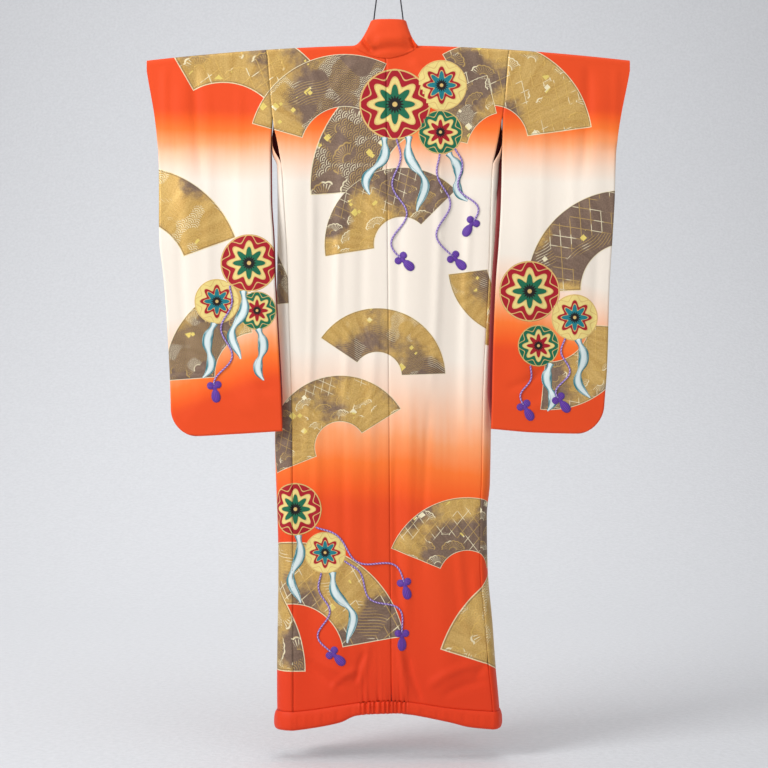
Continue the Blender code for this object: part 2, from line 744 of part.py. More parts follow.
def sleeve_point(half, index, number, levels, hem_z):
    """Place of one grid point of a sleeve: x, middle y, z and half depth."""
    folding = index < len(FOLD_ANGLES)
    nominal = levels[max(0, index - len(FOLD_ANGLES))]
    if folding:
        nominal = SHOULDER_Z
    over = max(0.0, nominal - hem_z)
    corner = 0.0
    if over < SLEEVE_CORNER:
        corner = SLEEVE_CORNER - math.sqrt(SLEEVE_CORNER ** 2 - (SLEEVE_CORNER - over) ** 2)
    inner = curved(half.sleeve, "inner", nominal)
    if nominal >= ARMHOLE_Z:
        inner = curved(half.side, "back", nominal) + SEAM_GAP
    outer = curved(half.sleeve, "outer", nominal)
    if number < len(SLEEVE_SHARES):
        share = SLEEVE_SHARES[number]
        out = mix(inner, outer, share) - corner * max(0.0, share - CORNER_SHARE) / (
            1.0 - CORNER_SHARE)
    else:
        out = outer - corner - SLEEVE_EDGE_INSETS[number - len(SLEEVE_SHARES)]
        share = (out - inner) / (outer - corner - inner)
    x = half.sign * out
    top = ridge_z(x)
    if folding:
        angle = math.radians(FOLD_ANGLES[index])
        z = top - FOLD_RADIUS * (1.0 - math.cos(angle))
        return x, 0.0, z, FOLD_RADIUS * math.sin(angle)
    slope = (top - ridge_z(half.side[0].back)) * ease(
        (nominal - SLEEVE_SLOPE_END_Z) / SLEEVE_SLOPE_RUN)
    bottom = curved(half.sleeve_hem, "z", out) - hem_z
    z = nominal + slope + bottom * ease(
        (SLEEVE_HEM_SLOPE_Z - nominal) / (SLEEVE_HEM_SLOPE_Z - hem_z))
    middle = sleeve_middle(half, nominal, share)
    middle -= fold_height(SLEEVE_FOLDS, x, z)
    depth = sleeve_half(nominal, top - z, outer - corner - out, over, share)
    return x, middle, z, depth


def roll_stations(half):
    """Points along the hem with the roll's top and lowest heights, middle seam first."""
    start = half.sign * MIDDLE_HEM_X + SEAM_GAP / 2.0
    turn = turn_out(half, HEM_Z)
    gather_end = half.sign * (GATHER_FROM_X if half.sign < 0 else GATHER_TO_X)
    waves = round(GATHERS * (gather_end - start) / (GATHER_TO_X - GATHER_FROM_X))
    fine = waves * STATIONS_PER_GATHER
    outs = [mix(start, gather_end, i / fine) for i in range(fine)]
    outs += [mix(gather_end, turn, i / ROLL_BACK_STEPS) for i in range(ROLL_BACK_STEPS + 1)]
    stations = []
    for out in outs:
        x = half.sign * out
        share = (out - start) / (gather_end - start)
        gather = math.sin(2.0 * math.pi * waves * share) if share < 1.0 else 0.0
        fade = ease((1.0 - share) / GATHER_FADE)
        stitch, low = (curved(half.back_hem, c, out) for c in ("stitch", "low"))
        stations.append((x, back_y(x, stitch), stitch, low, GATHER_DEPTH * gather * fade))
    length, turn = turn_length(half, HEM_Z)[:2]
    total = length + turn - half.lines[-1].edge
    side_stitch, side_low = stations[-1][2:4]
    for i in range(1, ROLL_FRONT_STEPS + 1):
        along = total * i / ROLL_FRONT_STEPS
        point = front_point(half, HEM_Z, along)
        blend = ease(along / length)
        out = half.sign * point.x
        stitch = mix(side_stitch, curved(half.front_hem, "stitch", out), blend)
        low = mix(side_low, curved(half.front_hem, "low", out), blend)
        stations.append((point.x, point.y, stitch, low, 0.0))
    return stations


def roll_grid(half):
    """Rings of points of the padded roll, one for each station."""
    stations = roll_stations(half)
    rings = []
    for i, (x, y, stitch, low, gather) in enumerate(stations):
        before, after = stations[max(0, i - 1)], stations[min(len(stations) - 1, i + 1)]
        along = Vector((after[0] - before[0], after[1] - before[1], 0.0)).normalized()
        outward = Vector((along.y, -along.x, 0.0)) * -half.sign
        centre = Vector((x, y, 0.0)) - outward * (CLOTH / 2.0 - gather)
        ring = []
        for face, rows in ((1.0, ROLL_SECTION), (-1.0, ROLL_SECTION[-2::-1])):
            for row in rows:
                z = mix(stitch - ROLL_GAP, low, row.height)
                ring.append(centre + outward * (face * ROLL_HALF * row.width)
                            + Vector((0.0, 0.0, z)))
        rings.append(ring + [ring[0]])
    return rings


def make_material(name, colour, roughness):
    """Plain material of one colour."""
    material = bpy.data.materials.new(name)
    material.use_nodes = True
    shader = material.node_tree.nodes["Principled BSDF"]
    shader.inputs["Base Color"].default_value = (*colour, 1.0)
    shader.inputs["Roughness"].default_value = roughness
    shader.inputs["Metallic"].default_value = 0.0
    return material


def add_grid(mesh, rows):
    """Add one grid of faces whose corners are the given rows of points."""
    made = bmesh.ops.create_grid(mesh, x_segments=len(rows[0]) - 1, y_segments=len(rows) - 1,
                                 size=0.5)
    points = [point for row in rows for point in row]
    for vertex, point in zip(made["verts"], points):
        vertex.co = point


def finish_mesh(name, mesh, outward, material, collection):
    """Weld the grids of one piece, turn its faces outward and make it an object."""
    bmesh.ops.remove_doubles(mesh, verts=mesh.verts, dist=WELD)
    bmesh.ops.recalc_face_normals(mesh, faces=mesh.faces)
    mesh.faces.ensure_lookup_table()
    probe = max(mesh.faces, key=lambda face: face.calc_center_median().dot(outward))
    if probe.normal.dot(outward) < 0.0:
        bmesh.ops.reverse_faces(mesh, faces=mesh.faces)
    data = bpy.data.meshes.new(name)
    mesh.to_mesh(data)
    mesh.free()
    data.shade_smooth()
    data.materials.append(material)
    piece = bpy.data.objects.new(name, data)
    collection.objects.link(piece)
    return piece


def add_cloth(name, grids, outward, material, collection):
    """One piece of cloth: its outer face from grids of points, thickened inward."""
    mesh = bmesh.new()
    for rows in grids:
        add_grid(mesh, rows)
    piece = finish_mesh(name, mesh, outward, material, collection)
    wall = piece.modifiers.new("wall", "SOLIDIFY")
    wall.thickness = CLOTH
    wall.offset = -1.0
    return piece


def add_roll(half, material, collection):
    """The padded roll of one half of the hem."""
    mesh = bmesh.new()
    add_grid(mesh, roll_grid(half))
    bmesh.ops.remove_doubles(mesh, verts=mesh.verts, dist=WELD)
    bmesh.ops.holes_fill(mesh, edges=mesh.edges, sides=0)
    return finish_mesh(f"hem_{half.name}", mesh, Vector((0.0, -1.0, 0.0)), material,
                       collection)


def add_tube(name, points, radius, sides, material, collection):
    """A round rod or cord along a line of points, with closed ends."""
    curve = bpy.data.curves.new(name, "CURVE")
    curve.dimensions = "3D"
    curve.bevel_depth = radius
    curve.bevel_resolution = (sides - 4) // 2
    curve.use_fill_caps = True
    spline = curve.splines.new("POLY")
    spline.points.add(len(points) - 1)
    for target, point in zip(spline.points, points):
        target.co = (*point, 1.0)
    curve.materials.append(material)
    tube = bpy.data.objects.new(name, curve)
    collection.objects.link(tube)
    return tube


def rod_centre(x):
    """Middle of the rod under the folded cloth."""
    return Vector((x, 0.0, ridge_z(x) - FOLD_RADIUS))


def cord_points():
    """Points along the whole cord, evenly spaced on a smooth curve through its route."""
    foot_z = rod_centre(CORD_FOOT_X).z + ROD_RADIUS + 2.0 * SEAM_GAP + 2.0 * CORD_RADIUS
    leg = [Vector(point) for point in CORD_ROUTE] + [Vector((CORD_FOOT_X, 0.0, foot_z))]
    route = [Vector((-p.x, p.y, p.z)) for p in reversed(leg[1:])] + leg
    fine = []
    for i in range(len(route) - 1):
        before, after = route[max(0, i - 1)], route[min(len(route) - 1, i + 2)]
        start, end = route[i], route[i + 1]
        for step in range(CURVE_STEPS):
            t = step / CURVE_STEPS
            fine.append(0.5 * (2.0 * start + (end - before) * t
                               + (2.0 * before - 5.0 * start + 4.0 * end - after) * t * t
                               + (3.0 * start - before - 3.0 * end + after) * t ** 3))
    fine.append(route[-1])
    lengths = [0.0]
    for start, end in zip(fine, fine[1:]):
        lengths.append(lengths[-1] + (end - start).length)
    points = []
    for i in range(CORD_POINTS + 1):
        target = lengths[-1] * i / CORD_POINTS
        index = max(j for j in range(len(fine)) if lengths[j] <= target + 1e-9)
        index = min(index, len(fine) - 2)
        share = (target - lengths[index]) / (lengths[index + 1] - lengths[index])
        points.append(fine[index].lerp(fine[index + 1], share))
    return points


def add_tie(half, material, collection):
    """Ring of cord tied around the rod under one leg of the cord."""
    mesh = bmesh.new()
    bmesh.ops.create_circle(mesh, cap_ends=False, segments=CORD_SIDES,
                            radius=CORD_RADIUS)
    turned = ROD_RADIUS + SEAM_GAP + CORD_RADIUS
    for vertex in mesh.verts:
        vertex.co = Vector((vertex.co.x, 0.0, vertex.co.y + turned))
    bmesh.ops.spin(mesh, geom=list(mesh.verts) + list(mesh.edges), cent=(0.0, 0.0, 0.0),
                   axis=(1.0, 0.0, 0.0), angle=2.0 * math.pi, steps=TIE_STEPS, use_merge=True)
    place = rod_centre(half.sign * CORD_FOOT_X)
    bmesh.ops.translate(mesh, verts=mesh.verts, vec=place)
    return finish_mesh(f"cord_tie_{half.name}", mesh, Vector((0.0, 0.0, 1.0)), material,
                       collection)


def main():
    """Build every piece of the kimono and its hanger."""
    for item in list(bpy.data.objects):
        bpy.data.objects.remove(item)
    collection = bpy.data.collections.new("kimono_on_hanger")
    bpy.context.scene.collection.children.link(collection)
    silk = make_material("body_silk", (0.85, 0.42, 0.22), 0.55)
    sleeve_silk = make_material("sleeve_silk", (0.87, 0.30, 0.14), 0.55)
    overlap_silk = make_material("overlap_silk", (0.86, 0.50, 0.30), 0.55)
    collar_silk = make_material("collar_silk", (0.85, 0.16, 0.06), 0.55)
    roll_silk = make_material("hem_silk", (0.78, 0.10, 0.04), 0.60)
    wood = make_material("rod_wood", (0.45, 0.30, 0.17), 0.45)
    cord = make_material("cord_black", (0.03, 0.03, 0.03), 0.80)
    behind = Vector((0.0, -1.0, 0.0))
    ahead = Vector((0.0, 1.0, 0.0))
    for half in (LEFT, RIGHT):
        add_cloth(f"body_{half.name}", (back_grid(half), front_grid(half)), behind, silk,
                  collection)
        add_cloth(f"sleeve_{half.name}", sleeve_layers(half), behind, sleeve_silk, collection)
        add_cloth(f"overlap_{half.name}", (overlap_grid(half),), ahead, overlap_silk,
                  collection)
        add_roll(half, roll_silk, collection)
        add_tie(half, cord, collection)
    add_cloth("collar", (collar_grid(),), ahead, collar_silk, collection)
    stations = [mix(-ROD_HALF_LENGTH, ROD_HALF_LENGTH, i / (ROD_STATIONS - 1))
                for i in range(ROD_STATIONS)]
    add_tube("hanger_rod", [rod_centre(x) for x in stations], ROD_RADIUS, ROD_SIDES, wood,
             collection)
    add_tube("hanging_cord", cord_points(), CORD_RADIUS, CORD_SIDES, cord, collection)


main()
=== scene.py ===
"""Long-sleeved silk kimono on a hanging rod, seen from behind.

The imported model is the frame. Each panel of cloth is laid out again on the form of its solid,
with finer folds, and is dyed, gilded and embroidered. Units are metres and +Z is up. The back
of the garment faces -Y and the wearer's right is +X. The origin is the top of the hanging cord.
"out" is the distance from the middle of the garment towards one sleeve.
"""

import logging
import math
from dataclasses import dataclass
from enum import Enum

import bmesh
import bpy
import numpy as np
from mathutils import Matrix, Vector
from mathutils.bvhtree import BVHTree


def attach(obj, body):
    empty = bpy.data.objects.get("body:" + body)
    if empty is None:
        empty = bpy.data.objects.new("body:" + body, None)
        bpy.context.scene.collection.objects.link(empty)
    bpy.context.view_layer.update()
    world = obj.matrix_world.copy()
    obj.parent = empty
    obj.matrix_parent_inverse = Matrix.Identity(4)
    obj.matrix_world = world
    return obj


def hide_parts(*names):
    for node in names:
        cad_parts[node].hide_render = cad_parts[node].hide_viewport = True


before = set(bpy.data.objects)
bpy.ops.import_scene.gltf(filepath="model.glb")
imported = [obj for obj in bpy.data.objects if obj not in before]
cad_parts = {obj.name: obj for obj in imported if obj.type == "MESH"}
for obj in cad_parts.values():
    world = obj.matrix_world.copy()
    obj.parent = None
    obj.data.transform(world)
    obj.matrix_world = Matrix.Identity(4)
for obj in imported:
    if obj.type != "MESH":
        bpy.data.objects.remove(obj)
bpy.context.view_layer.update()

ROOT = "root"
LOG = logging.getLogger("kimono")
Array = np.ndarray


def ease(share: Array | float) -> Array:
    """Soft step from 0 to 1."""
    share = np.clip(share, 0.0, 1.0)
    return share * share * (3.0 - 2.0 * share)


def mix(start: Array | float, end: Array | float, share: Array | float) -> Array:
    """Value between start and end."""
    return start + (end - start) * share


def wave_sum(place: Array, seed: int, waves: int = 4) -> Array:
    """Slow uneven wobble between about -1 and 1, the same in every run.

    Args:
        place: where to read it, in radians of its longest wave.
        seed: picks one wobble.
        waves: how many sine waves are added.

    Returns:
        The wobble at each place.
    """
    random = np.random.default_rng(seed)
    phases = random.uniform(0.0, 2.0 * math.pi, waves)
    rates = random.uniform(0.8, 1.25, waves) * np.arange(1, waves + 1)
    return sum(np.sin(place * rate + phase) / (index + 1.0)
               for index, (rate, phase) in enumerate(zip(rates, phases))) / 1.6


@dataclass(frozen=True)
class Measures:
    """Measures in named columns that change along the first column."""

    columns: str
    rows: tuple[tuple[float, ...], ...]

    def _table(self, column: str) -> tuple[Array, Array]:
        """Places in rising order and one column's values there."""
        table = np.array(sorted(self.rows))
        return table[:, 0], table[:, self.columns.split().index(column)]

    def at(self, column: str, place: Array | float) -> Array:
        """Value of a column on a smooth curve that never overshoots its rows.

        Args:
            column: the column's name.
            place: where to read it; beyond the rows the end value holds.

        Returns:
            The values, shaped as place is.
        """
        places, values = self._table(column)
        widths = np.diff(places)
        secants = np.diff(values) / widths
        before, after = secants[:-1], secants[1:]
        rising = before * after > 0.0
        total = np.where(rising, before + after, 1.0)
        inner = np.where(rising, 2.0 * before * after / total, 0.0)
        slopes = np.concatenate((secants[:1], inner, secants[-1:]))
        at = np.clip(place, places[0], places[-1])
        index = np.clip(np.searchsorted(places, at, side="right") - 1, 0, len(secants) - 1)
        width = widths[index]
        t = (at - places[index]) / width
        return ((2 * t ** 3 - 3 * t ** 2 + 1) * values[index]
                + (t ** 3 - 2 * t ** 2 + t) * width * slopes[index]
                + (3 * t ** 2 - 2 * t ** 3) * values[index + 1]
                + (t ** 3 - t ** 2) * width * slopes[index + 1])

    def line(self, column: str, place: Array | float) -> Array:
        """Value of a column on straight lines between its rows."""
        return np.interp(place, *self._table(column))


SIDE = "z back turn side"
LINES = "z seam collar edge"
HEM = "out stitch low"
SLEEVE = "z inner outer"
SLEEVE_HEM = "out z"
OVERLAP_TIP_Z = -0.536
COLLAR_END_Z = -1.13
HEM_Z = -1.96


@dataclass(frozen=True)
class Half:
    """Everything that differs between the wearer's left and right."""

    name: str
    sign: int
    side: Measures
    lines: Measures
    back_hem: Measures
    front_hem: Measures
    sleeve: Measures
    sleeve_hem: Measures
    lift: float


LEFT = Half(
    "left", -1,
    Measures(SIDE, (
        (-0.300, 0.3060, 0.3060, 0.3060), (-0.470, 0.2915, 0.2915, 0.2930),
        (-0.503, 0.2875, 0.2880, 0.2925), (-0.540, 0.2790, 0.2850, 0.2935),
        (-0.570, 0.2735, 0.2780, 0.2925), (-0.603, 0.2680, 0.2680, 0.2800),
        (-0.690, 0.2620, 0.2620, 0.2785),
        (-0.800, 0.2550, 0.2550, 0.2790), (-1.000, 0.2480, 0.2480, 0.2820),
        (-1.270, 0.2410, 0.2410, 0.2855), (-1.600, 0.2390, 0.2390, 0.2770),
        (-1.900, 0.2380, 0.2380, 0.2805), (-2.020, 0.2375, 0.2375, 0.2790),
    )),
    Measures(LINES, (
        (OVERLAP_TIP_Z, 0.0895, 0.0895, 0.0295), (COLLAR_END_Z, 0.0960, 0.0250, -0.0350),
        (HEM_Z, 0.1050, 0.0250, -0.0500),
    )),
    Measures(HEM, (
        (-0.020, -1.9400, -1.9700), (0.045, -1.9420, -1.9720), (0.080, -1.9460, -1.9755),
        (0.121, -1.9520, -1.9925), (0.200, -1.9640, -2.0080), (0.280, -1.9715, -2.0175),
    )),
    Measures(HEM, (
        (-0.060, -1.9280, -1.9620), (0.050, -1.9320, -1.9670), (0.121, -1.9440, -1.9840),
        (0.200, -1.9600, -2.0030), (0.280, -1.9715, -2.0175),
    )),
    Measures(SLEEVE, (
        (-0.338, 0.3050, 0.6060), (-0.470, 0.2915, 0.5860), (-0.575, 0.2950, 0.5770),
        (-0.690, 0.2930, 0.5730), (-0.790, 0.2860, 0.5705), (-0.885, 0.2825, 0.5600),
        (-1.050, 0.2735, 0.5480), (-1.165, 0.2670, 0.5425), (-1.275, 0.2630, 0.5405),
    )),
    Measures(SLEEVE_HEM, (
        (0.262, -1.2670), (0.388, -1.2750), (0.491, -1.2800), (0.545, -1.2780),
    )),
    0.016,
)
RIGHT = Half(
    "right", 1,
    Measures(SIDE, (
        (-0.300, 0.3020, 0.3020, 0.3020), (-0.470, 0.2875, 0.2875, 0.2890),
        (-0.503, 0.2810, 0.2830, 0.2880), (-0.540, 0.2740, 0.2800, 0.2870),
        (-0.570, 0.2678, 0.2740, 0.2840), (-0.603, 0.2610, 0.2610, 0.2775),
        (-0.860, 0.2520, 0.2520, 0.2705),
        (-1.190, 0.2360, 0.2360, 0.2590), (-1.400, 0.2320, 0.2320, 0.2550),
        (-1.480, 0.2290, 0.2290, 0.2475), (-1.600, 0.2290, 0.2290, 0.2490),
        (-1.750, 0.2410, 0.2410, 0.2615), (-1.860, 0.2500, 0.2500, 0.2695),
        (-1.970, 0.2600, 0.2600, 0.2790), (-2.020, 0.2610, 0.2610, 0.2810),
    )),
    Measures(LINES, (
        (OVERLAP_TIP_Z, 0.0775, 0.0775, 0.0175), (COLLAR_END_Z, 0.1120, 0.0880, 0.0280),
        (HEM_Z, 0.1600, 0.0880, 0.0350),
    )),
    Measures(HEM, (
        (-0.020, -1.9400, -1.9700), (0.036, -1.9420, -1.9700), (0.070, -1.9460, -1.9755),
        (0.156, -1.9590, -1.9930), (0.201, -1.9630, -2.0040), (0.280, -1.9680, -2.0115),
    )),
    Measures(HEM, (
        (0.035, -1.9520, -1.9890), (0.100, -1.9570, -1.9960), (0.204, -1.9650, -2.0080),
        (0.280, -1.9680, -2.0115),
    )),
    Measures(SLEEVE, (
        (-0.338, 0.3010, 0.6050), (-0.470, 0.2875, 0.5820), (-0.550, 0.2850, 0.5725),
        (-0.690, 0.2805, 0.5645), (-0.790, 0.2745, 0.5570), (-0.905, 0.2660, 0.5500),
        (-1.105, 0.2580, 0.5435), (-1.200, 0.2560, 0.5365), (-1.275, 0.2540, 0.5330),
    )),
    Measures(SLEEVE_HEM, (
        (0.253, -1.2615), (0.369, -1.2710), (0.474, -1.2735), (0.536, -1.2700),
    )),
    0.0,
)
HALVES = (LEFT, RIGHT)


@dataclass(frozen=True)
class Fold:
    """One soft fold: its two ends, its width and how far it stands out."""

    x_top: float
    z_top: float
    x_low: float
    z_low: float
    width: float
    depth: float
    bow: float = 0.0

    def height(self, x: Array, z: Array) -> Array:
        """How far the cloth stands out at each point.

        Args:
            x: places across.
            z: heights.

        Returns:
            Heights of the fold, which fades towards its ends.
        """
        run = np.array((self.x_low - self.x_top, self.z_low - self.z_top))
        length = math.hypot(*run)
        along = ((x - self.x_top) * run[0] + (z - self.z_top) * run[1]) / length ** 2
        across = ((x - self.x_top) * run[1] - (z - self.z_top) * run[0]) / length
        across = (across - self.bow * 4.0 * along * (1.0 - along)) / self.width
        fade = ease((along + 0.15) / 0.3) * ease((1.15 - along) / 0.3)
        return self.depth * fade * np.exp(-across * across)


def folds(*rows: tuple[float, ...]) -> tuple[Fold, ...]:
    """Folds from rows of x_top, z_top, x_low, z_low, width, depth and bow."""
    return tuple(Fold(*row) for row in rows)


# Main folds, which the solids have too
BACK_FOLDS = folds(
    (-0.235, -0.620, -0.215, -1.200, 0.034, 0.006),
    (-0.135, -0.420, -0.170, -1.050, 0.040, -0.005),
    (0.070, -0.480, 0.060, -1.300, 0.045, 0.005),
    (0.185, -0.560, 0.165, -1.350, 0.038, -0.006),
    (-0.080, -1.150, -0.120, -1.900, 0.042, 0.005),
    (0.110, -1.450, 0.150, -1.900, 0.036, 0.006),
    (-0.205, -1.500, -0.190, -1.900, 0.034, -0.005),
)
FRONT_FOLDS = folds(
    (-0.180, -0.560, -0.160, -1.600, 0.042, 0.006),
    (0.150, -0.600, 0.190, -1.700, 0.040, 0.007),
    (0.110, -1.000, 0.105, -1.850, 0.030, -0.006),
    (-0.090, -0.900, -0.060, -1.800, 0.034, -0.005),
)
SLEEVE_FOLDS = folds(
    (-0.520, -0.400, -0.500, -0.760, 0.030, 0.004),
    (-0.420, -0.560, -0.395, -1.180, 0.038, -0.0035),
    (-0.345, -0.640, -0.330, -1.200, 0.030, 0.0030),
    (0.535, -0.400, 0.510, -0.780, 0.030, 0.004),
    (0.430, -0.520, 0.400, -1.150, 0.038, -0.0035),
    (0.340, -0.660, 0.330, -1.200, 0.030, 0.0030),
)

# Finer creases; a low ridge beside a trough makes one soft tuck
BACK_CREASES = folds(
    (0.016, -1.320, 0.024, -1.720, 0.010, -0.0040, 0.003),
    (-0.098, -1.020, -0.106, -1.260, 0.012, 0.0034, 0.004),
    (0.216, -1.880, 0.262, -1.835, 0.009, -0.0034, -0.003),
    (-0.060, -1.820, -0.082, -1.890, 0.007, -0.0034, 0.003),
    (-0.060, -0.335, -0.150, -0.440, 0.012, 0.0037, 0.010),
    (0.055, -0.335, 0.130, -0.450, 0.012, 0.0037, -0.010),
    (-0.105, -0.500, -0.128, -0.980, 0.011, 0.0034, 0.006),
    (-0.060, -0.620, -0.066, -1.240, 0.014, -0.0031, 0.004),
    (-0.190, -0.640, -0.205, -1.330, 0.010, 0.0034, -0.006),
    (-0.030, -1.000, -0.045, -1.620, 0.012, 0.0027, 0.006),
    (-0.112, -1.300, -0.100, -1.820, 0.013, -0.0031, 0.004),
    (-0.178, -1.230, -0.172, -1.560, 0.012, 0.0031, 0.004),
    (0.034, -0.560, 0.026, -1.060, 0.012, -0.0027, 0.004),
    (0.128, -0.520, 0.110, -1.120, 0.012, 0.0037, -0.006),
    (0.205, -0.700, 0.188, -1.260, 0.011, 0.0034, 0.006),
    (0.050, -1.180, 0.040, -1.760, 0.013, 0.0031, -0.006),
    (0.100, -1.220, 0.086, -1.600, 0.010, -0.0027, 0.003),
    (0.172, -1.500, 0.205, -1.800, 0.012, 0.0034, 0.006),
    (-0.235, -1.790, -0.090, -1.875, 0.012, 0.0051, 0.012),
    (-0.215, -1.835, -0.110, -1.905, 0.009, -0.0037, 0.008),
    (-0.140, -1.905, -0.075, -1.860, 0.008, 0.0037, -0.006),
    (-0.075, -1.900, -0.050, -1.800, 0.008, 0.0027, 0.004),
    (0.020, -1.700, 0.045, -1.930, 0.008, 0.0051, 0.004),
    (0.048, -1.830, 0.080, -1.935, 0.008, -0.0041, 0.004),
    (0.105, -1.900, 0.210, -1.850, 0.011, 0.0041, -0.008),
    (0.140, -1.925, 0.235, -1.890, 0.009, -0.0031, -0.006),
    (0.215, -1.620, 0.238, -1.780, 0.010, 0.0027, 0.004),
)
FRONT_CREASES = folds(
    (-0.150, -0.400, -0.190, -0.720, 0.014, 0.0034, 0.010),
    (0.140, -0.400, 0.185, -0.720, 0.014, 0.0034, -0.010),
    (-0.120, -0.700, -0.115, -1.500, 0.013, 0.0031, 0.008),
    (-0.215, -0.800, -0.205, -1.700, 0.012, -0.0025, -0.006),
    (-0.030, -1.200, -0.010, -1.850, 0.014, 0.0034, 0.006),
    (0.070, -1.150, 0.072, -1.850, 0.013, 0.0031, -0.006),
    (0.200, -0.900, 0.215, -1.500, 0.012, -0.0025, 0.006),
    (0.140, -1.500, 0.120, -1.880, 0.012, 0.0034, 0.008),
    (-0.170, -1.650, -0.140, -1.900, 0.012, 0.0031, 0.006),
)
SLEEVE_CREASES = folds(
    (-0.560, -0.360, -0.548, -0.640, 0.010, 0.0037, 0.004),
    (-0.486, -0.350, -0.470, -0.620, 0.012, -0.0031, 0.006),
    (-0.455, -0.420, -0.450, -0.980, 0.012, 0.0034, -0.006),
    (-0.372, -0.420, -0.362, -0.940, 0.011, 0.0027, 0.006),
    (-0.520, -0.760, -0.490, -1.160, 0.012, -0.0031, 0.006),
    (-0.455, -1.120, -0.350, -1.225, 0.012, 0.0044, 0.010),
    (-0.400, -1.100, -0.300, -1.170, 0.010, -0.0034, 0.008),
    (0.570, -0.360, 0.556, -0.640, 0.010, 0.0037, -0.004),
    (0.500, -0.350, 0.486, -0.620, 0.012, -0.0031, -0.006),
    (0.470, -0.420, 0.462, -0.980, 0.012, 0.0034, 0.006),
    (0.385, -0.420, 0.372, -0.940, 0.011, 0.0027, -0.006),
    (0.520, -0.800, 0.490, -1.160, 0.012, -0.0031, -0.006),
    (0.460, -1.120, 0.350, -1.215, 0.012, 0.0044, -0.010),
    (0.400, -1.100, 0.300, -1.160, 0.010, -0.0034, -0.008),
)

# Pinched folds and the dip above the seam, low on the band at the nape
NAPE_CREASES = folds(
    (-0.067, -0.287, -0.043, -0.315, 0.0042, -0.0075, 0.002),
    (-0.057, -0.287, -0.036, -0.309, 0.0036, 0.0040, 0.002),
    (0.054, -0.286, 0.066, -0.310, 0.0036, -0.0065, 0.000),
    (0.063, -0.283, 0.075, -0.311, 0.0040, 0.0065, 0.001),
    (0.072, -0.287, 0.082, -0.314, 0.0032, -0.0055, 0.000),
    (-0.045, -0.320, 0.062, -0.312, 0.0085, -0.0050, -0.008),
    (-0.030, -0.292, 0.040, -0.288, 0.0160, 0.0035, -0.004),
)


def fold_height(rows: tuple[Fold, ...], x: Array, z: Array) -> Array:
    """Sum of several folds at each point."""
    return sum(row.height(x, z) for row in rows)


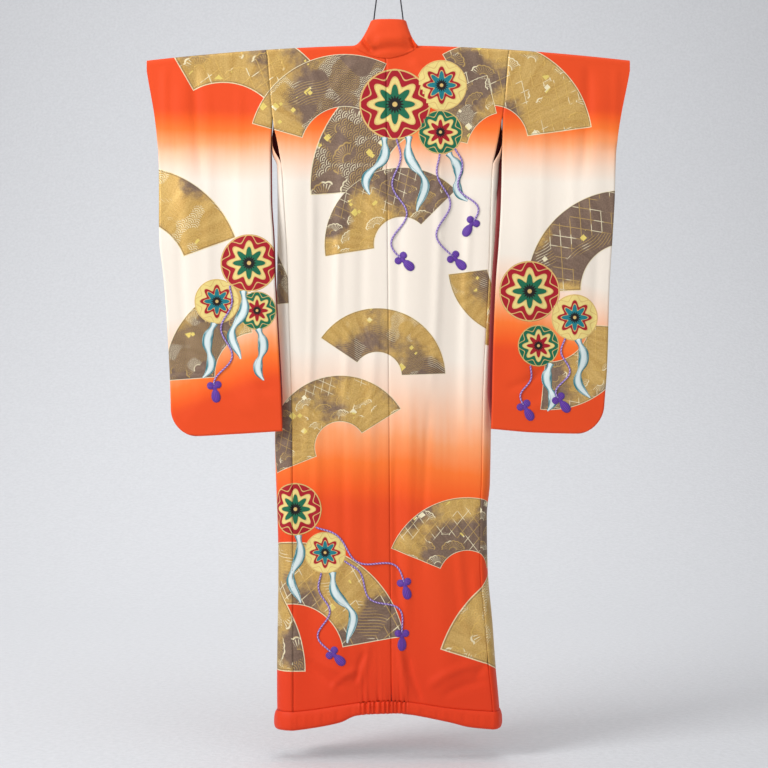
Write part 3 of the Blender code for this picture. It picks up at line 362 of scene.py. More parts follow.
@dataclass(frozen=True)
class GarmentForm:
    """The form that all panels hang on: shoulder line, depths, neck and side turns."""

    shoulder_z: float = -0.2995
    cuff_out: float = 0.606
    shoulder_fall: float = 0.0385
    shoulder_bend: float = 1.8
    shoulder_spread: float = 0.004
    spread_drop: float = 0.17
    rod_radius: float = 0.008
    fold_radius: float = 0.0105
    armhole_z: float = -0.470
    side_seam_z: float = -0.603
    neck_middle: float = -0.006
    neck_half_width: float = 0.0835
    neck_back_drop: float = 0.033
    middle_hem_x: float = 0.008
    seam_gap: float = 0.0003
    lift_start_out: float = 0.10
    lift_top_z: float = -0.47
    lift_run: float = 0.2
    side_share: float = 0.45
    seam_dip: float = 0.0011
    seam_reach: float = 0.0035
    depths: Measures = Measures("z back front", (
        (-0.470, 0.000, 0.000), (-0.603, 0.006, 0.008), (-0.800, 0.013, 0.020),
        (-1.100, 0.018, 0.028), (-1.500, 0.021, 0.034), (-2.020, 0.027, 0.042),
    ))

    def ridge_z(self, x: Array | float) -> Array:
        """Top of the cloth where it folds over the rod."""
        fall = self.shoulder_fall * (np.abs(x) / self.cuff_out) ** self.shoulder_bend
        return self.shoulder_z - fall

    def middle_x(self, z: Array | float) -> Array:
        """Middle seam of the back."""
        share = (z - self.shoulder_z) / (HEM_Z - self.shoulder_z)
        return mix(self.neck_middle, self.middle_hem_x, share)

    def half_depth(self, drop: Array) -> Array:
        """Half the depth of the cloth at a drop below the ridge."""
        radius = self.fold_radius
        near = np.sqrt(np.maximum(0.0, radius ** 2 - (radius - np.minimum(drop, radius)) ** 2))
        far = radius + self.shoulder_spread * ease(drop / self.spread_drop)
        return np.where(drop < radius, near, far)

    def back_y(self, x: Array, z: Array) -> Array:
        """Outer face of the back, as its solid has it."""
        depth = self.half_depth(self.ridge_z(x) - z) + self.depths.at("back", z)
        return -depth - fold_height(BACK_FOLDS, x, z)

    def front_y(self, half: Half, x: Array, z: Array) -> Array:
        """Outer face of a front, as its solid has it."""
        out = half.sign * x
        depth = self.half_depth(self.ridge_z(x) - z) + self.depths.at("front", z)
        lift = half.lift * ease((self.lift_start_out - out) / self.lift_start_out)
        lift = lift * ease((self.lift_top_z - z) / self.lift_run)
        return depth + lift + fold_height(FRONT_FOLDS, x, z)

    def neck_z(self, x: Array) -> Array:
        """Neckline of the back, lowest in the middle."""
        share = np.minimum(1.0, np.abs(x - self.neck_middle) / self.neck_half_width)
        return mix(self.ridge_z(x) - self.neck_back_drop, self.ridge_z(x), share ** 2)

    def edge_angle(self, z: Array) -> Array:
        """Where a front's side edge stands on its turn: 90 in front, -90 at the back."""
        share = ease((self.armhole_z - z) / (self.armhole_z - self.side_seam_z))
        return 90.0 - 180.0 * share

    def turn(self, half: Half, z: Array) -> tuple[Array, Array, Array, Array, Array]:
        """The front's turn around the side.

        Args:
            half: the left or right half.
            z: heights.

        Returns:
            Its length, start, width, half depth and middle depth.
        """
        sewn = (z <= self.side_seam_z) | (z >= self.armhole_z)
        start = np.where(sewn, half.side.at("back", z), half.side.at("turn", z))
        x = half.sign * start
        wide = half.side.at("side", z) - start
        front, back = self.front_y(half, x, z), self.back_y(x, z)
        deep, middle = (front - back) / 2.0, (front + back) / 2.0
        length = np.radians(90.0 - self.edge_angle(z)) * np.sqrt((wide ** 2 + deep ** 2) / 2.0)
        return length, start, wide, deep, middle

    def front_points(self, half: Half, z: Array, along: Array) -> Array:
        """Points of a front at heights and distances from its side edge.

        Args:
            half: the left or right half.
            z: heights.
            along: distances from the side edge.

        Returns:
            The points.
        """
        length, start, wide, deep, middle = self.turn(half, z)
        share = np.clip(along / np.maximum(length, 1e-9), 0.0, 1.0)
        angle = np.radians(mix(self.edge_angle(z), 90.0, share))
        x = half.sign * (start - (along - length))
        turning = along < length
        x = np.where(turning, half.sign * (start + wide * np.cos(angle)), x)
        y = np.where(turning, middle + deep * np.sin(angle), self.front_y(half, x, z))
        creases = fold_height(FRONT_CREASES, x, z) * ease(along / np.maximum(length, 0.02) - 1.0)
        return np.stack((x, y + creases, z), axis=-1)

    def front_inner(self, half: Half, z: Array) -> Array:
        """Inner edge of a front: the neckline, and below its tip the overlap's seam."""
        neck = half.sign * self.neck_middle + self.neck_half_width
        return np.where(z > OVERLAP_TIP_Z, neck, half.lines.line("seam", z))


class Panel(Enum):
    """Faces of the garment that are dyed apart from each other."""

    BACK = 0
    FRONT = 1
    SLEEVE_BACK = 2
    SLEEVE_FRONT = 3
    COLLAR = 4


@dataclass
class Patch:
    """One grid of a cloth piece: its points and each point's place in the flat pattern."""

    points: Array
    cut: Array
    panel: Panel


@dataclass
class Cloth:
    """Turns grids of points into one thin piece of lined cloth."""

    name: str
    patches: list[Patch]
    outward: tuple[float, float, float] = (0.0, -1.0, 0.0)
    wall: float = 0.0013
    weld: float = 0.00002

    def build(self) -> bpy.types.Object:
        """The piece, with the layer "cut" holding its flat pattern and panel."""
        mesh = bmesh.new()
        cut_layer = mesh.loops.layers.float_vector.new("cut")
        for patch in self.patches:
            lay_grid(mesh, patch, cut_layer)
        return self.finish(mesh)

    def finish(self, mesh: bmesh.types.BMesh) -> bpy.types.Object:
        """Weld the grids, turn the faces outward, make the object and give it its wall.

        Args:
            mesh: the welded and walled mesh, which is freed.

        Returns:
            The finished object.
        """
        piece = make_piece(self.name, mesh, self.outward, self.weld)
        wall = piece.modifiers.new("wall", "SOLIDIFY")
        wall.thickness = self.wall
        wall.offset = -1.0
        wall.material_offset = 1
        return piece


def lay_grid(mesh: bmesh.types.BMesh, patch: Patch, cut_layer: bmesh.types.BMLayerItem) -> None:
    """Add one patch to a mesh as a grid of faces.

    Args:
        mesh: receives the faces.
        patch: points and flat pattern of the grid.
        cut_layer: the face corners' layer for the flat pattern.
    """
    rows, columns = patch.points.shape[:2]
    old = len(mesh.faces)
    made = bmesh.ops.create_grid(mesh, x_segments=columns - 1, y_segments=rows - 1, size=0.5)
    places = {}
    cuts = patch.cut.reshape(-1, 2).tolist()
    for vertex, point, cut in zip(made["verts"], patch.points.reshape(-1, 3).tolist(), cuts):
        vertex.co = point
        places[vertex] = (*cut, float(patch.panel.value))
    mesh.faces.ensure_lookup_table()
    for face in mesh.faces[old:]:
        for loop in face.loops:
            loop[cut_layer] = places[loop.vert]


def make_piece(name: str, mesh: bmesh.types.BMesh, outward: tuple[float, float, float],
               weld: float) -> bpy.types.Object:
    """Weld a mesh, turn its faces outward and make it a piece that rides on the garment.

    Args:
        name: the piece's name.
        mesh: its faces; it is freed here.
        outward: a direction in which the outermost face looks.
        weld: distance under which points become one.

    Returns:
        The new object.
    """
    bmesh.ops.remove_doubles(mesh, verts=mesh.verts, dist=weld)
    bmesh.ops.recalc_face_normals(mesh, faces=mesh.faces)
    direction = Vector(outward)
    probe = max(mesh.faces, key=lambda face: face.calc_center_median().dot(direction))
    if probe.normal.dot(direction) < 0.0:
        bmesh.ops.reverse_faces(mesh, faces=mesh.faces)
    data = bpy.data.meshes.new(name)
    mesh.to_mesh(data)
    mesh.free()
    data.shade_smooth()
    piece = bpy.data.objects.new(name, data)
    bpy.context.scene.collection.objects.link(piece)
    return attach(piece, ROOT)


def fold_rows(steps: int = 6) -> Array:
    """Angles down the fold over the rod, from its ridge to where the cloth hangs."""
    return np.radians(np.linspace(0.0, 90.0, steps + 1))


@dataclass
class BodyHalf:
    """One strip of the body: back, over the shoulder and front."""

    form: GarmentForm
    half: Half
    shoulder_columns: int = 44
    neck_columns: int = 15
    rows: int = 290
    pucker_depth: float = 0.0042
    pucker_height: float = 0.040
    gather_from_x: float = -0.079
    gather_to_x: float = 0.054
    gathers: int = 12

    def side_hem_z(self) -> Array:
        """Stitch line at the side seam, where back and front share it."""
        return self.half.back_hem.at("stitch", self.half.side.at("back", HEM_Z))

    def hang(self, top: Array, hem: Array) -> Array:
        """Heights of all rows below the fold, for columns with these tops and hems."""
        share = np.linspace(0.0, 1.0, self.rows + 1)[1:, None]
        return mix(top - self.form.fold_radius, hem, share)

    def puckers(self, x: Array, z: Array, stitch: Array) -> Array:
        """Short gathers that run up from the stitch line in the middle of the back.

        Args:
            x, z: places on the back.
            stitch: height of the stitch line there.

        Returns:
            How far the cloth moves.
        """
        span = self.gather_to_x - self.gather_from_x
        share = (x - self.gather_from_x) / span
        inside = ease(share / 0.12) * ease((1.0 - share) / 0.12)
        uneven = 0.35 * wave_sum(share * 9.0, 3)
        wave = np.sin(2.0 * math.pi * (self.gathers * share + uneven))
        fade = np.exp(-np.maximum(0.0, z - stitch) / self.pucker_height)
        return self.pucker_depth * inside * wave * fade

    def back_patch(self) -> Patch:
        """Back panel, middle seam first.

        Returns:
            The panel's points and flat places.
        """
        form, half = self.form, self.half
        middle_out = half.sign * form.neck_middle
        neck_out = middle_out + form.neck_half_width
        neck = np.linspace(middle_out, neck_out, self.neck_columns + 1)
        shoulder = np.linspace(neck_out, half.side.rows[0][1], self.shoulder_columns + 1)
        tops = np.concatenate((neck[:-1], shoulder))
        share = (tops - tops[0]) / (tops[-1] - tops[0])
        x_top = half.sign * tops
        top = np.where(tops < neck_out - 1e-6, form.neck_z(x_top), form.ridge_z(x_top))
        hem_out = mix(half.sign * form.middle_hem_x, half.side.at("back", HEM_Z), share)
        hem = half.back_hem.at("stitch", hem_out)
        angles = fold_rows()
        folded = top - form.fold_radius * (1.0 - np.cos(angles))[:, None]
        hung = self.hang(top, hem)
        z = np.concatenate((folded, hung))
        inner = half.sign * form.middle_x(z)
        x = half.sign * mix(inner, half.side.at("back", z), share)
        x[:len(angles)] = x_top
        y = form.back_y(x, z) - fold_height(BACK_CREASES, x, z) * self.calm(z, top)
        y = y - self.puckers(x, z, hem)
        seam = np.exp(-((half.sign * x - inner) / form.seam_reach) ** 2)
        side = np.exp(-((half.side.at("back", z) - half.sign * x) / form.seam_reach) ** 2)
        sewn = ease((form.side_seam_z - z) / 0.02)
        y = y + form.seam_dip * (seam * self.calm(z, top) + side * sewn)
        points = np.stack((x, y, z), axis=-1)
        return Patch(points, np.stack((x, z), axis=-1), Panel.BACK)

    def calm(self, z: Array, top: Array) -> Array:
        """Share of the fine creases that is left near the rod, where the cloth is held."""
        return ease((top - z - 0.010) / 0.030)

    def front_patch(self) -> Patch:
        """Front panel, side edge first.

        Returns:
            The panel's points and flat places.
        """
        form, half = self.form, self.half
        middle_out = half.sign * form.neck_middle
        edge_out = half.side.rows[0][1]
        share = np.linspace(0.0, 1.0, self.shoulder_columns + 1)
        x_top = half.sign * mix(edge_out, middle_out + form.neck_half_width, share)
        top = form.ridge_z(x_top)
        length, start = form.turn(half, np.array(HEM_Z))[:2]
        along = self.front_columns(np.array(HEM_Z), share)
        hem_out = start - np.maximum(0.0, along - length)
        blend = ease(along / length)
        hem = mix(self.side_hem_z(), half.front_hem.at("stitch", hem_out), blend)
        angles = fold_rows()
        folded = top - form.fold_radius * (1.0 - np.cos(angles))[:, None]
        depth = form.fold_radius * np.sin(angles)[:, None]
        over = np.stack(np.broadcast_arrays(x_top, depth, folded), axis=-1)
        z = self.hang(top, hem)
        along = self.front_columns(z, share)
        hung = form.front_points(half, z, along)
        points = np.concatenate((over, hung))
        edge = half.side.at("back", z)
        u_hung = half.sign * (edge + along)
        u_over = np.broadcast_to(half.sign * (2.0 * edge_out - half.sign * x_top), folded.shape)
        cut = np.stack((np.concatenate((u_over, u_hung)), points[..., 2]), axis=-1)
        return Patch(points, cut, Panel.FRONT)

    def front_columns(self, z: Array, share: Array) -> Array:
        """Distances from the side edge of the front's columns, denser on the turn.

        Args:
            z: heights.
            share: the columns' shares of the width.

        Returns:
            Their distances.
        """
        form = self.form
        length, start = form.turn(self.half, z)[:2]
        total = length + start - form.front_inner(self.half, z)
        dense = np.maximum(length, form.side_share * total)
        near = dense * share / form.side_share
        far = mix(dense, total, (share - form.side_share) / (1.0 - form.side_share))
        return np.where(share < form.side_share, near, far)

    def build(self) -> bpy.types.Object:
        """The dressed strip.

        Returns:
            The finished object.
        """
        name = f"body_{self.half.name}"
        piece = Cloth(f"{name}_silk", [self.back_patch(), self.front_patch()]).build()
        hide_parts(name)
        return piece


@dataclass
class OverlapPanel:
    """Narrow panel sewn to a front, from the collar's end to the hem."""

    form: GarmentForm
    half: Half
    top_z: float = -0.603
    slant: float = 0.004
    columns: int = 22
    upper_rows: int = 90
    lower_rows: int = 140

    def rows(self, heights: Array, outer: str) -> Array:
        """Points of one stretch of the panel.

        Args:
            heights: one row for each height, one column for each column.
            outer: the line that is the stretch's outer edge.

        Returns:
            The stretch's points.
        """
        form, half = self.form, self.half
        gap = form.seam_gap if outer == "collar" else 0.0
        seam = half.lines.line("seam", heights) - form.seam_gap
        end = half.lines.line(outer, heights) + gap
        x = half.sign * mix(seam, end, np.linspace(0.0, 1.0, self.columns + 1))
        y = form.front_y(half, x, heights) + fold_height(FRONT_CREASES, x, heights)
        return np.stack((x, y, heights), axis=-1)

    def build(self) -> bpy.types.Object:
        """The dressed panel.

        Returns:
            The finished object.
        """
        half = self.half
        share = np.linspace(0.0, 1.0, self.columns + 1)
        upper = mix(self.top_z, COLLAR_END_Z, np.linspace(0.0, 1.0, self.upper_rows + 1))
        upper = np.broadcast_to(upper[:, None], (len(upper), len(share)))
        hem_out = mix(half.lines.line("seam", HEM_Z), half.lines.line("edge", HEM_Z), share)
        hem = half.front_hem.at("stitch", hem_out)
        down = np.linspace(0.0, 1.0, self.lower_rows + 1)[:, None]
        lower = mix(COLLAR_END_Z - self.slant, hem, down)
        points = np.concatenate((self.rows(upper, "collar"), self.rows(lower, "edge")))
        side = half.side.at("back", points[..., 2])
        length, start = self.form.turn(half, points[..., 2])[:2]
        u = half.sign * (side + length + start - half.sign * points[..., 0])
        patch = Patch(points, np.stack((u, points[..., 2]), axis=-1), Panel.FRONT)
        name = f"overlap_{half.name}"
        piece = Cloth(f"{name}_silk", [patch], (0.0, 1.0, 0.0)).build()
        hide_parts(name)
        return piece


@dataclass
class Collar:
    """The band around the neck and down both fronts, standing at the nape."""

    form: GarmentForm
    slant: float = 0.004
    band_bow: float = 0.008
    columns: int = 30
    steps: int = 9
    lap_y: float = 0.0010
    lap_z: float = 0.0025
    nape_y: float = 0.02
    crease_rise: float = 0.08
    crease_top: float = 0.85
    crease_fade: float = 0.4
    nape: tuple[tuple[float, ...], ...] = (
        (0.000, 0.0000, -0.0210, -0.2375, 0.000), (0.500, 0.0180, -0.0200, -0.2375, 0.000),
        (0.820, 0.0330, -0.0150, -0.2375, 0.004), (0.917, 0.0400, -0.0090, -0.2380, 0.008),
        (0.978, 0.0440, -0.0010, -0.2390, 0.012),
    )
    shoulder: tuple[tuple[float, ...], ...] = (
        (0, 0.0455, 0.0060, -0.2405, 0.014), (30, 0.0458, 0.0120, -0.2440, 0.013),
        (60, 0.0455, 0.0175, -0.2485, 0.012), (90, 0.0450, 0.0225, -0.2550, 0.010),
    )
    chest: tuple[tuple[float, ...], ...] = (
        (0.00, 0.0430, 0.0320, -0.2920, 0.006), (0.33, 0.0430, 0.0340, -0.3470, 0.002),
        (0.67, 0.0430, 0.0260, -0.4120, 0.000),
    )
    chest_levels: tuple[float, ...] = (-0.345, -0.385, -0.430)
    band_levels: tuple[float, ...] = (-0.470, -0.503, -0.536, -0.570, -0.603, -0.660, -0.730,
                                      -0.810, -0.900, -1.000, -1.130)

    def sections(self, half: Half) -> list[tuple[Array, Array, Array]]:
        """Seam, free edge and bow of one half, from the nape to its lower end.

        Args:
            half: the left or right half.

        Returns:
            For each section its seam point, edge point and bow.
        """
        form = self.form
        middle_out = half.sign * form.neck_middle
        neck_out = middle_out + form.neck_half_width
        top = float(form.ridge_z(neck_out))
        inside = half.sign * (neck_out - form.seam_gap)
        found = []
        for place, out, y, z, sag in self.nape:
            x = half.sign * mix(middle_out, neck_out, place)
            at = float(form.neck_z(x))
            found.append(((x, form.back_y(x, at) - self.lap_y, at - self.lap_z),
                          (half.sign * out, y, z), (0.0, -self.band_bow, -sag)))
        for degrees, out, y, z, sag in self.shoulder:
            angle = math.radians(degrees)
            at = top - form.fold_radius * (1.0 - math.cos(angle))
            at += form.seam_gap * math.cos(angle)
            found.append(((inside, form.fold_radius * math.sin(angle), at),
                          (half.sign * out, y, z), (0.0, 0.0, -sag)))
        for (place, out, y, z, sag), level in zip(self.chest, self.chest_levels):
            share = ease((level - form.armhole_z) / (self.chest_levels[0] - form.armhole_z))
            at = level + (top - form.shoulder_z) * share
            edge = mix(out, half.lines.line("edge", OVERLAP_TIP_Z), place)
            found.append(((inside, form.front_y(half, inside, at), at),
                          (half.sign * edge, y, z), (0.0, 0.0, -sag)))
        for level in self.band_levels:
            last = level == COLLAR_END_Z
            ends = []
            for column, inset, slant in (("collar", form.seam_gap, 0.0),
                                         ("edge", 0.0, self.slant)):
                at = level + (form.seam_gap - slant if last else 0.0)
                x = half.sign * (half.lines.line(column, level) - inset)
                ends.append((x, form.front_y(half, x, at), at))
            found.append((ends[0], ends[1], (0.0, 0.0, 0.0)))
        return [tuple(np.array(part, float) for part in section) for section in found]

    def build(self) -> bpy.types.Object:
        """The dressed collar.

        Returns:
            The finished object.
        """
        sections = list(reversed(self.sections(LEFT)))[:-1] + self.sections(RIGHT)
        table = np.array([np.concatenate(section) for section in sections])
        index = np.arange(len(table), dtype=float)
        fine = np.linspace(0.0, len(table) - 1.0, (len(table) - 1) * self.steps + 1)
        smooth = np.stack([
            Measures("i value", tuple(zip(index, table[:, k]))).at("value", fine)
            for k in range(table.shape[1])
        ], axis=-1)
        seam, edge, bow = (smooth[:, None, 3 * k:3 * k + 3] for k in range(3))
        share = np.linspace(0.0, 1.0, self.columns + 1)[None, :, None]
        points = seam + (edge - seam) * share + bow * 4.0 * share * (1.0 - share)
        points = points + self.pinches(points, share)
        run = np.concatenate(([0.0], np.cumsum(np.linalg.norm(np.diff(seam[:, 0], axis=0),
                                                              axis=-1))))
        run = run - run[len(run) // 2]
        width = share[..., 0] * np.linalg.norm(edge - seam, axis=-1)
        cut = np.stack(np.broadcast_arrays(run[:, None], width), axis=-1)
        patch = Patch(points, cut, Panel.COLLAR)
        piece = Cloth("collar_silk", [patch], (0.0, 1.0, 0.0)).build()
        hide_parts("collar")
        return piece

    def pinches(self, points: Array, share: Array) -> Array:
        """Small pinched folds at the two sides of the nape, low on the band.

        Args:
            points: the band's points.
            share: their shares of its width.

        Returns:
            How far each point moves.
        """
        moved = np.zeros_like(points)
        nape = ease((self.nape_y - points[..., 1]) / self.nape_y)
        low = ease(share[..., 0] / self.crease_rise)
        low = low * ease((self.crease_top - share[..., 0]) / self.crease_fade)
        moved[..., 1] = -fold_height(NAPE_CREASES, points[..., 0], points[..., 2]) * nape * low
        return moved


@dataclass
class Sleeve:
    """One long hanging sleeve, folded over the rod and open along its inner edge."""

    form: GarmentForm
    half: Half
    cuff_end_z: float = -0.565
    cuff_closing: float = 0.03
    edge_radius: float = 0.0055
    half_depth: float = 0.0095
    swell: float = 0.08
    corner: float = 0.065
    corner_share: float = 0.50
    outer_y: float = -0.044
    clear: float = 0.006
    left_step: float = 0.0025
    right_step: float = 0.0100
    step_top_z: float = -0.52
    step_run: float = 0.08
    step_fade: float = 0.10
    step_share: float = 0.30
    crease_start: float = 0.012
    crease_run: float = 0.03
    crease_edge: float = 0.02
    thinning: float = 0.5
    armhole_run: float = 0.15
    inner_share: float = 0.25
    edge_reach: float = 1.4
    lower_width: float = 0.28
    slope_low_z: float = -0.60
    slope_run: float = 0.25
    bottom_top_z: float = -0.95
    swing_top_z: float = -0.50
    swing_low_z: float = -0.82
    start_z: float = -0.3262
    columns: int = 50
    rows: int = 165
    edge_steps: tuple[float, ...] = (0.0055, 0.0038, 0.0024, 0.0013, 0.0006, 0.0002, 0.0)

    def edge_depth(self, distance: Array, full: Array) -> Array:
        """Half depth near a closed edge: a small round, then a slow swell."""
        radius = self.edge_radius
        near = np.sqrt(np.maximum(0.0, radius ** 2
                                  - (radius - np.minimum(distance, radius)) ** 2))
        far = mix(radius, full, ease((distance - radius) / self.swell))
        return np.where(distance < radius, near, far)

    def depth(self, z: Array, drop: Array, inset: Array, over: Array, share: Array) -> Array:
        """Half the depth of the bag at each point, thin at its closed edges.

        Args:
            z: heights.
            drop: distance below the ridge.
            inset: distance in from the outer edge.
            over: height above the bottom.
            share: share of the width.

        Returns:
            The half depths.
        """
        hanging = self.form.half_depth(drop)
        inner = mix(hanging, self.half_depth, ease((self.form.armhole_z - z) / self.armhole_run))
        deep = mix(inner, np.minimum(hanging, self.half_depth),
                   ease(share / self.inner_share))
        closed = ease((self.cuff_end_z + self.cuff_closing - z) / self.cuff_closing)
        side = mix(deep, self.edge_depth(inset, deep), closed)
        return np.minimum(side, self.edge_depth(over, deep))

    def layers(self) -> tuple[Array, Array]:
        """Points of the back layer and of the front layer, from the ridge down.

        Returns:
            The points of each layer.
        """
        form, half = self.form, self.half
        hem_z = float(half.sleeve_hem.at("z", half.sleeve.at("inner", -1.2)))
        body = np.linspace(self.start_z, hem_z + self.edge_steps[0], self.rows)
        nominal = np.concatenate((body[:-1], hem_z + np.array(self.edge_steps)))[:, None]
        over = np.maximum(0.0, nominal - hem_z)
        near = np.minimum(over, self.corner)
        corner = self.corner - np.sqrt(self.corner ** 2 - (self.corner - near) ** 2)
        sewn = half.side.at("back", nominal) + form.seam_gap
        inner = np.where(nominal >= form.armhole_z, sewn, half.sleeve.at("inner", nominal))
        outer = half.sleeve.at("outer", nominal)
        last_share = 1.0 - self.edge_reach * self.edge_steps[0] / self.lower_width
        plane = np.linspace(0.0, last_share, self.columns)[None, :]
        bend = np.maximum(0.0, plane - self.corner_share) / (1.0 - self.corner_share)
        flat = mix(inner, outer, plane) - corner * bend
        edge = outer - corner - np.array(self.edge_steps)[None, :]
        out = np.concatenate((flat, np.broadcast_to(edge, (len(nominal), len(self.edge_steps)))),
                             axis=1)
        share = np.clip((out - inner) / (outer - corner - inner), 0.0, 1.0)
        x = half.sign * out
        top = form.ridge_z(x)
        slope = top - form.ridge_z(half.side.rows[0][1])
        slope = slope * ease((nominal - self.slope_low_z) / self.slope_run)
        bottom = half.sleeve_hem.at("z", out) - hem_z
        low = ease((self.bottom_top_z - nominal) / (self.bottom_top_z - hem_z))
        z = nominal + slope + bottom * low
        behind = form.back_y(half.sign * half.sleeve.at("inner", nominal), nominal)
        behind = behind - self.half_depth - self.clear
        swing = ease((self.swing_top_z - nominal) / (self.swing_top_z - self.swing_low_z))
        middle = swing * mix(behind, self.outer_y, share) - fold_height(SLEEVE_FOLDS, x, z)
        depth = self.depth(nominal, top - z, outer - corner - out, over, share)
        crease = fold_height(SLEEVE_CREASES, x, z)
        crease = crease * ease((top - z - self.crease_start) / self.crease_run)
        crease = crease * ease(over / self.crease_edge) * ease(depth / self.half_depth)
        thin = np.minimum(0.0, -crease) * self.thinning
        step = self.right_step if half.sign > 0 else self.left_step
        step = step * (1.0 - ease(share / self.step_share))
        step = step * ease((self.step_top_z - nominal) / self.step_run)
        step = step * ease(over / self.step_fade)
        layers = []
        angles = fold_rows()[:-1]
        x_top = half.sign * self.top_outs(share[0])
        ridge = form.ridge_z(x_top)
        for face in (-1.0, 1.0):
            y = middle + face * (depth + thin) - crease
            hung = np.stack(np.broadcast_arrays(x - half.sign * step * (face > 0), y, z),
                            axis=-1)
            folded = ridge - form.fold_radius * (1.0 - np.cos(angles))[:, None]
            round_y = face * form.fold_radius * np.sin(angles)[:, None]
            over_rod = np.stack(np.broadcast_arrays(x_top, round_y, folded), axis=-1)
            layers.append(np.concatenate((over_rod, hung)))
        return layers[0], layers[1]

    def top_outs(self, share: Array) -> Array:
        """Distances out of the columns where they pass over the rod."""
        inner = self.half.side.at("back", self.form.shoulder_z) + self.form.seam_gap
        return mix(inner, self.half.sleeve.at("outer", self.form.shoulder_z), share)

    def build(self) -> bpy.types.Object:
        """The dressed sleeve.

        Returns:
            The finished object.
        """
        back, front = self.layers()
        patches = [Patch(back, back[..., [0, 2]], Panel.SLEEVE_BACK),
                   Patch(front, front[..., [0, 2]], Panel.SLEEVE_FRONT)]
        name = f"sleeve_{self.half.name}"
        piece = Cloth(f"{name}_silk", patches).build()
        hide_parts(name)
        return piece


@dataclass
class HemRoll:
    """Padded roll below the stitch line, gathered at the middle of the back."""

    body: BodyHalf
    half_thickness: float = 0.0062
    gap: float = -0.0012
    cloth: float = 0.002
    pitch: float = 0.0022
    gather_depth: float = 0.0044
    tuck_depth: float = 0.0007
    section: Measures = Measures("height width", (
        (0.00, 0.20), (0.10, 0.58), (0.35, 0.92), (0.68, 1.00), (0.92, 0.70), (1.00, 0.00),
    ))
    section_points: int = 15

    def stations(self) -> tuple[Array, Array, Array]:
        """Places along the hem with the roll's top and lowest heights.

        Returns:
            Points on the cloth's line, their stitch heights and their lowest heights.
        """
        form, half = self.body.form, self.body.half
        start = half.sign * form.middle_hem_x
        length, turn = (float(value) for value in form.turn(half, np.array(HEM_Z))[:2])
        outs = np.linspace(start, turn, round((turn - start) / self.pitch))
        stitch, low = (half.back_hem.at(column, outs) for column in ("stitch", "low"))
        x = half.sign * outs
        back = np.stack((x, form.back_y(x, stitch)), axis=-1)
        total = length + turn - half.lines.rows[-1][3]
        along = np.linspace(0.0, total, round(total / self.pitch))[1:]
        front = form.front_points(half, np.full(len(along), HEM_Z), along)[:, :2]
        blend = ease(along / length)
        out = half.sign * front[:, 0]
        front_stitch, front_low = (
            mix(side, half.front_hem.at(column, out), blend)
            for side, column in ((stitch[-1], "stitch"), (low[-1], "low")))
        return (np.concatenate((back, front)), np.concatenate((stitch, front_stitch)),
                np.concatenate((low, front_low)))

    def build(self) -> bpy.types.Object:
        """The dressed roll.

        Returns:
            The finished object.
        """
        half = self.body.half
        line, stitch, low = self.stations()
        heights = np.sin(np.linspace(0.0, math.pi / 2.0, self.section_points)) ** 2
        widths = self.section.at("width", heights)
        along = np.gradient(line, axis=0)
        along = along / np.linalg.norm(along, axis=1)[:, None]
        outward = np.stack((along[:, 1], -along[:, 0]), axis=-1) * -half.sign
        x = line[:, 0]
        gather = self.body.puckers(x, stitch, stitch) / self.body.pucker_depth
        gather = np.where(line[:, 1] < 0.0, gather, 0.0)
        tucks = self.tuck_depth * wave_sum(np.arange(len(x)) * 0.35, 7 + half.sign)
        centre = line - outward * self.cloth / 2.0
        rings = []
        for face, order in ((1.0, slice(None)), (-1.0, slice(-2, None, -1))):
            height, width = heights[order], widths[order]
            reach = face * width[None, :] * (self.half_thickness + tucks[:, None]
                                             * np.sin(height * math.pi))
            fading = (1.0 - 0.55 * height)[None, :]
            reach = reach + gather[:, None] * self.gather_depth * fading
            places = centre[:, None, :] + outward[:, None, :] * reach[..., None]
            z = mix(stitch[:, None] - self.gap, low[:, None], height[None, :])
            rings.append(np.concatenate((places, z[..., None]), axis=-1))
        points = np.concatenate(rings, axis=1)
        points = np.concatenate((points, points[:, :1]), axis=1)
        patch = Patch(points, points[..., [0, 2]], Panel.BACK)
        mesh = bmesh.new()
        cut_layer = mesh.loops.layers.float_vector.new("cut")
        lay_grid(mesh, patch, cut_layer)
        bmesh.ops.remove_doubles(mesh, verts=mesh.verts, dist=0.00002)
        bmesh.ops.holes_fill(mesh, edges=mesh.edges, sides=0)
        name = f"hem_{half.name}"
        piece = make_piece(f"{name}_silk", mesh, (0.0, -1.0, 0.0), 0.00002)
        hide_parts(name)
        return piece


@dataclass(frozen=True)
class Streamer:
    """A ribbon or cord that falls from a thread ball in even waves.

    The turn is in degrees from straight down, and the swing is how far a wave leaves the line.
    """

    x: float
    z: float
    turn: float
    length: float
    swing: float
    waves: float

    def route(self, pitch: float) -> Array:
        """Evenly stepped points of the middle line, in x and z.

        Args:
            pitch: the step.

        Returns:
            The points.
        """
        share = np.linspace(0.0, 1.0, max(12, round(1.3 * self.length / pitch)))[:, None]
        angle = math.radians(self.turn)
        ahead = np.array((math.sin(angle), -math.cos(angle)))
        beside = np.array((math.cos(angle), math.sin(angle)))
        wave = self.swing * np.sin(2.0 * math.pi * self.waves * share) * share ** 0.5
        return np.array((self.x, self.z)) + ahead * self.length * share + beside * wave


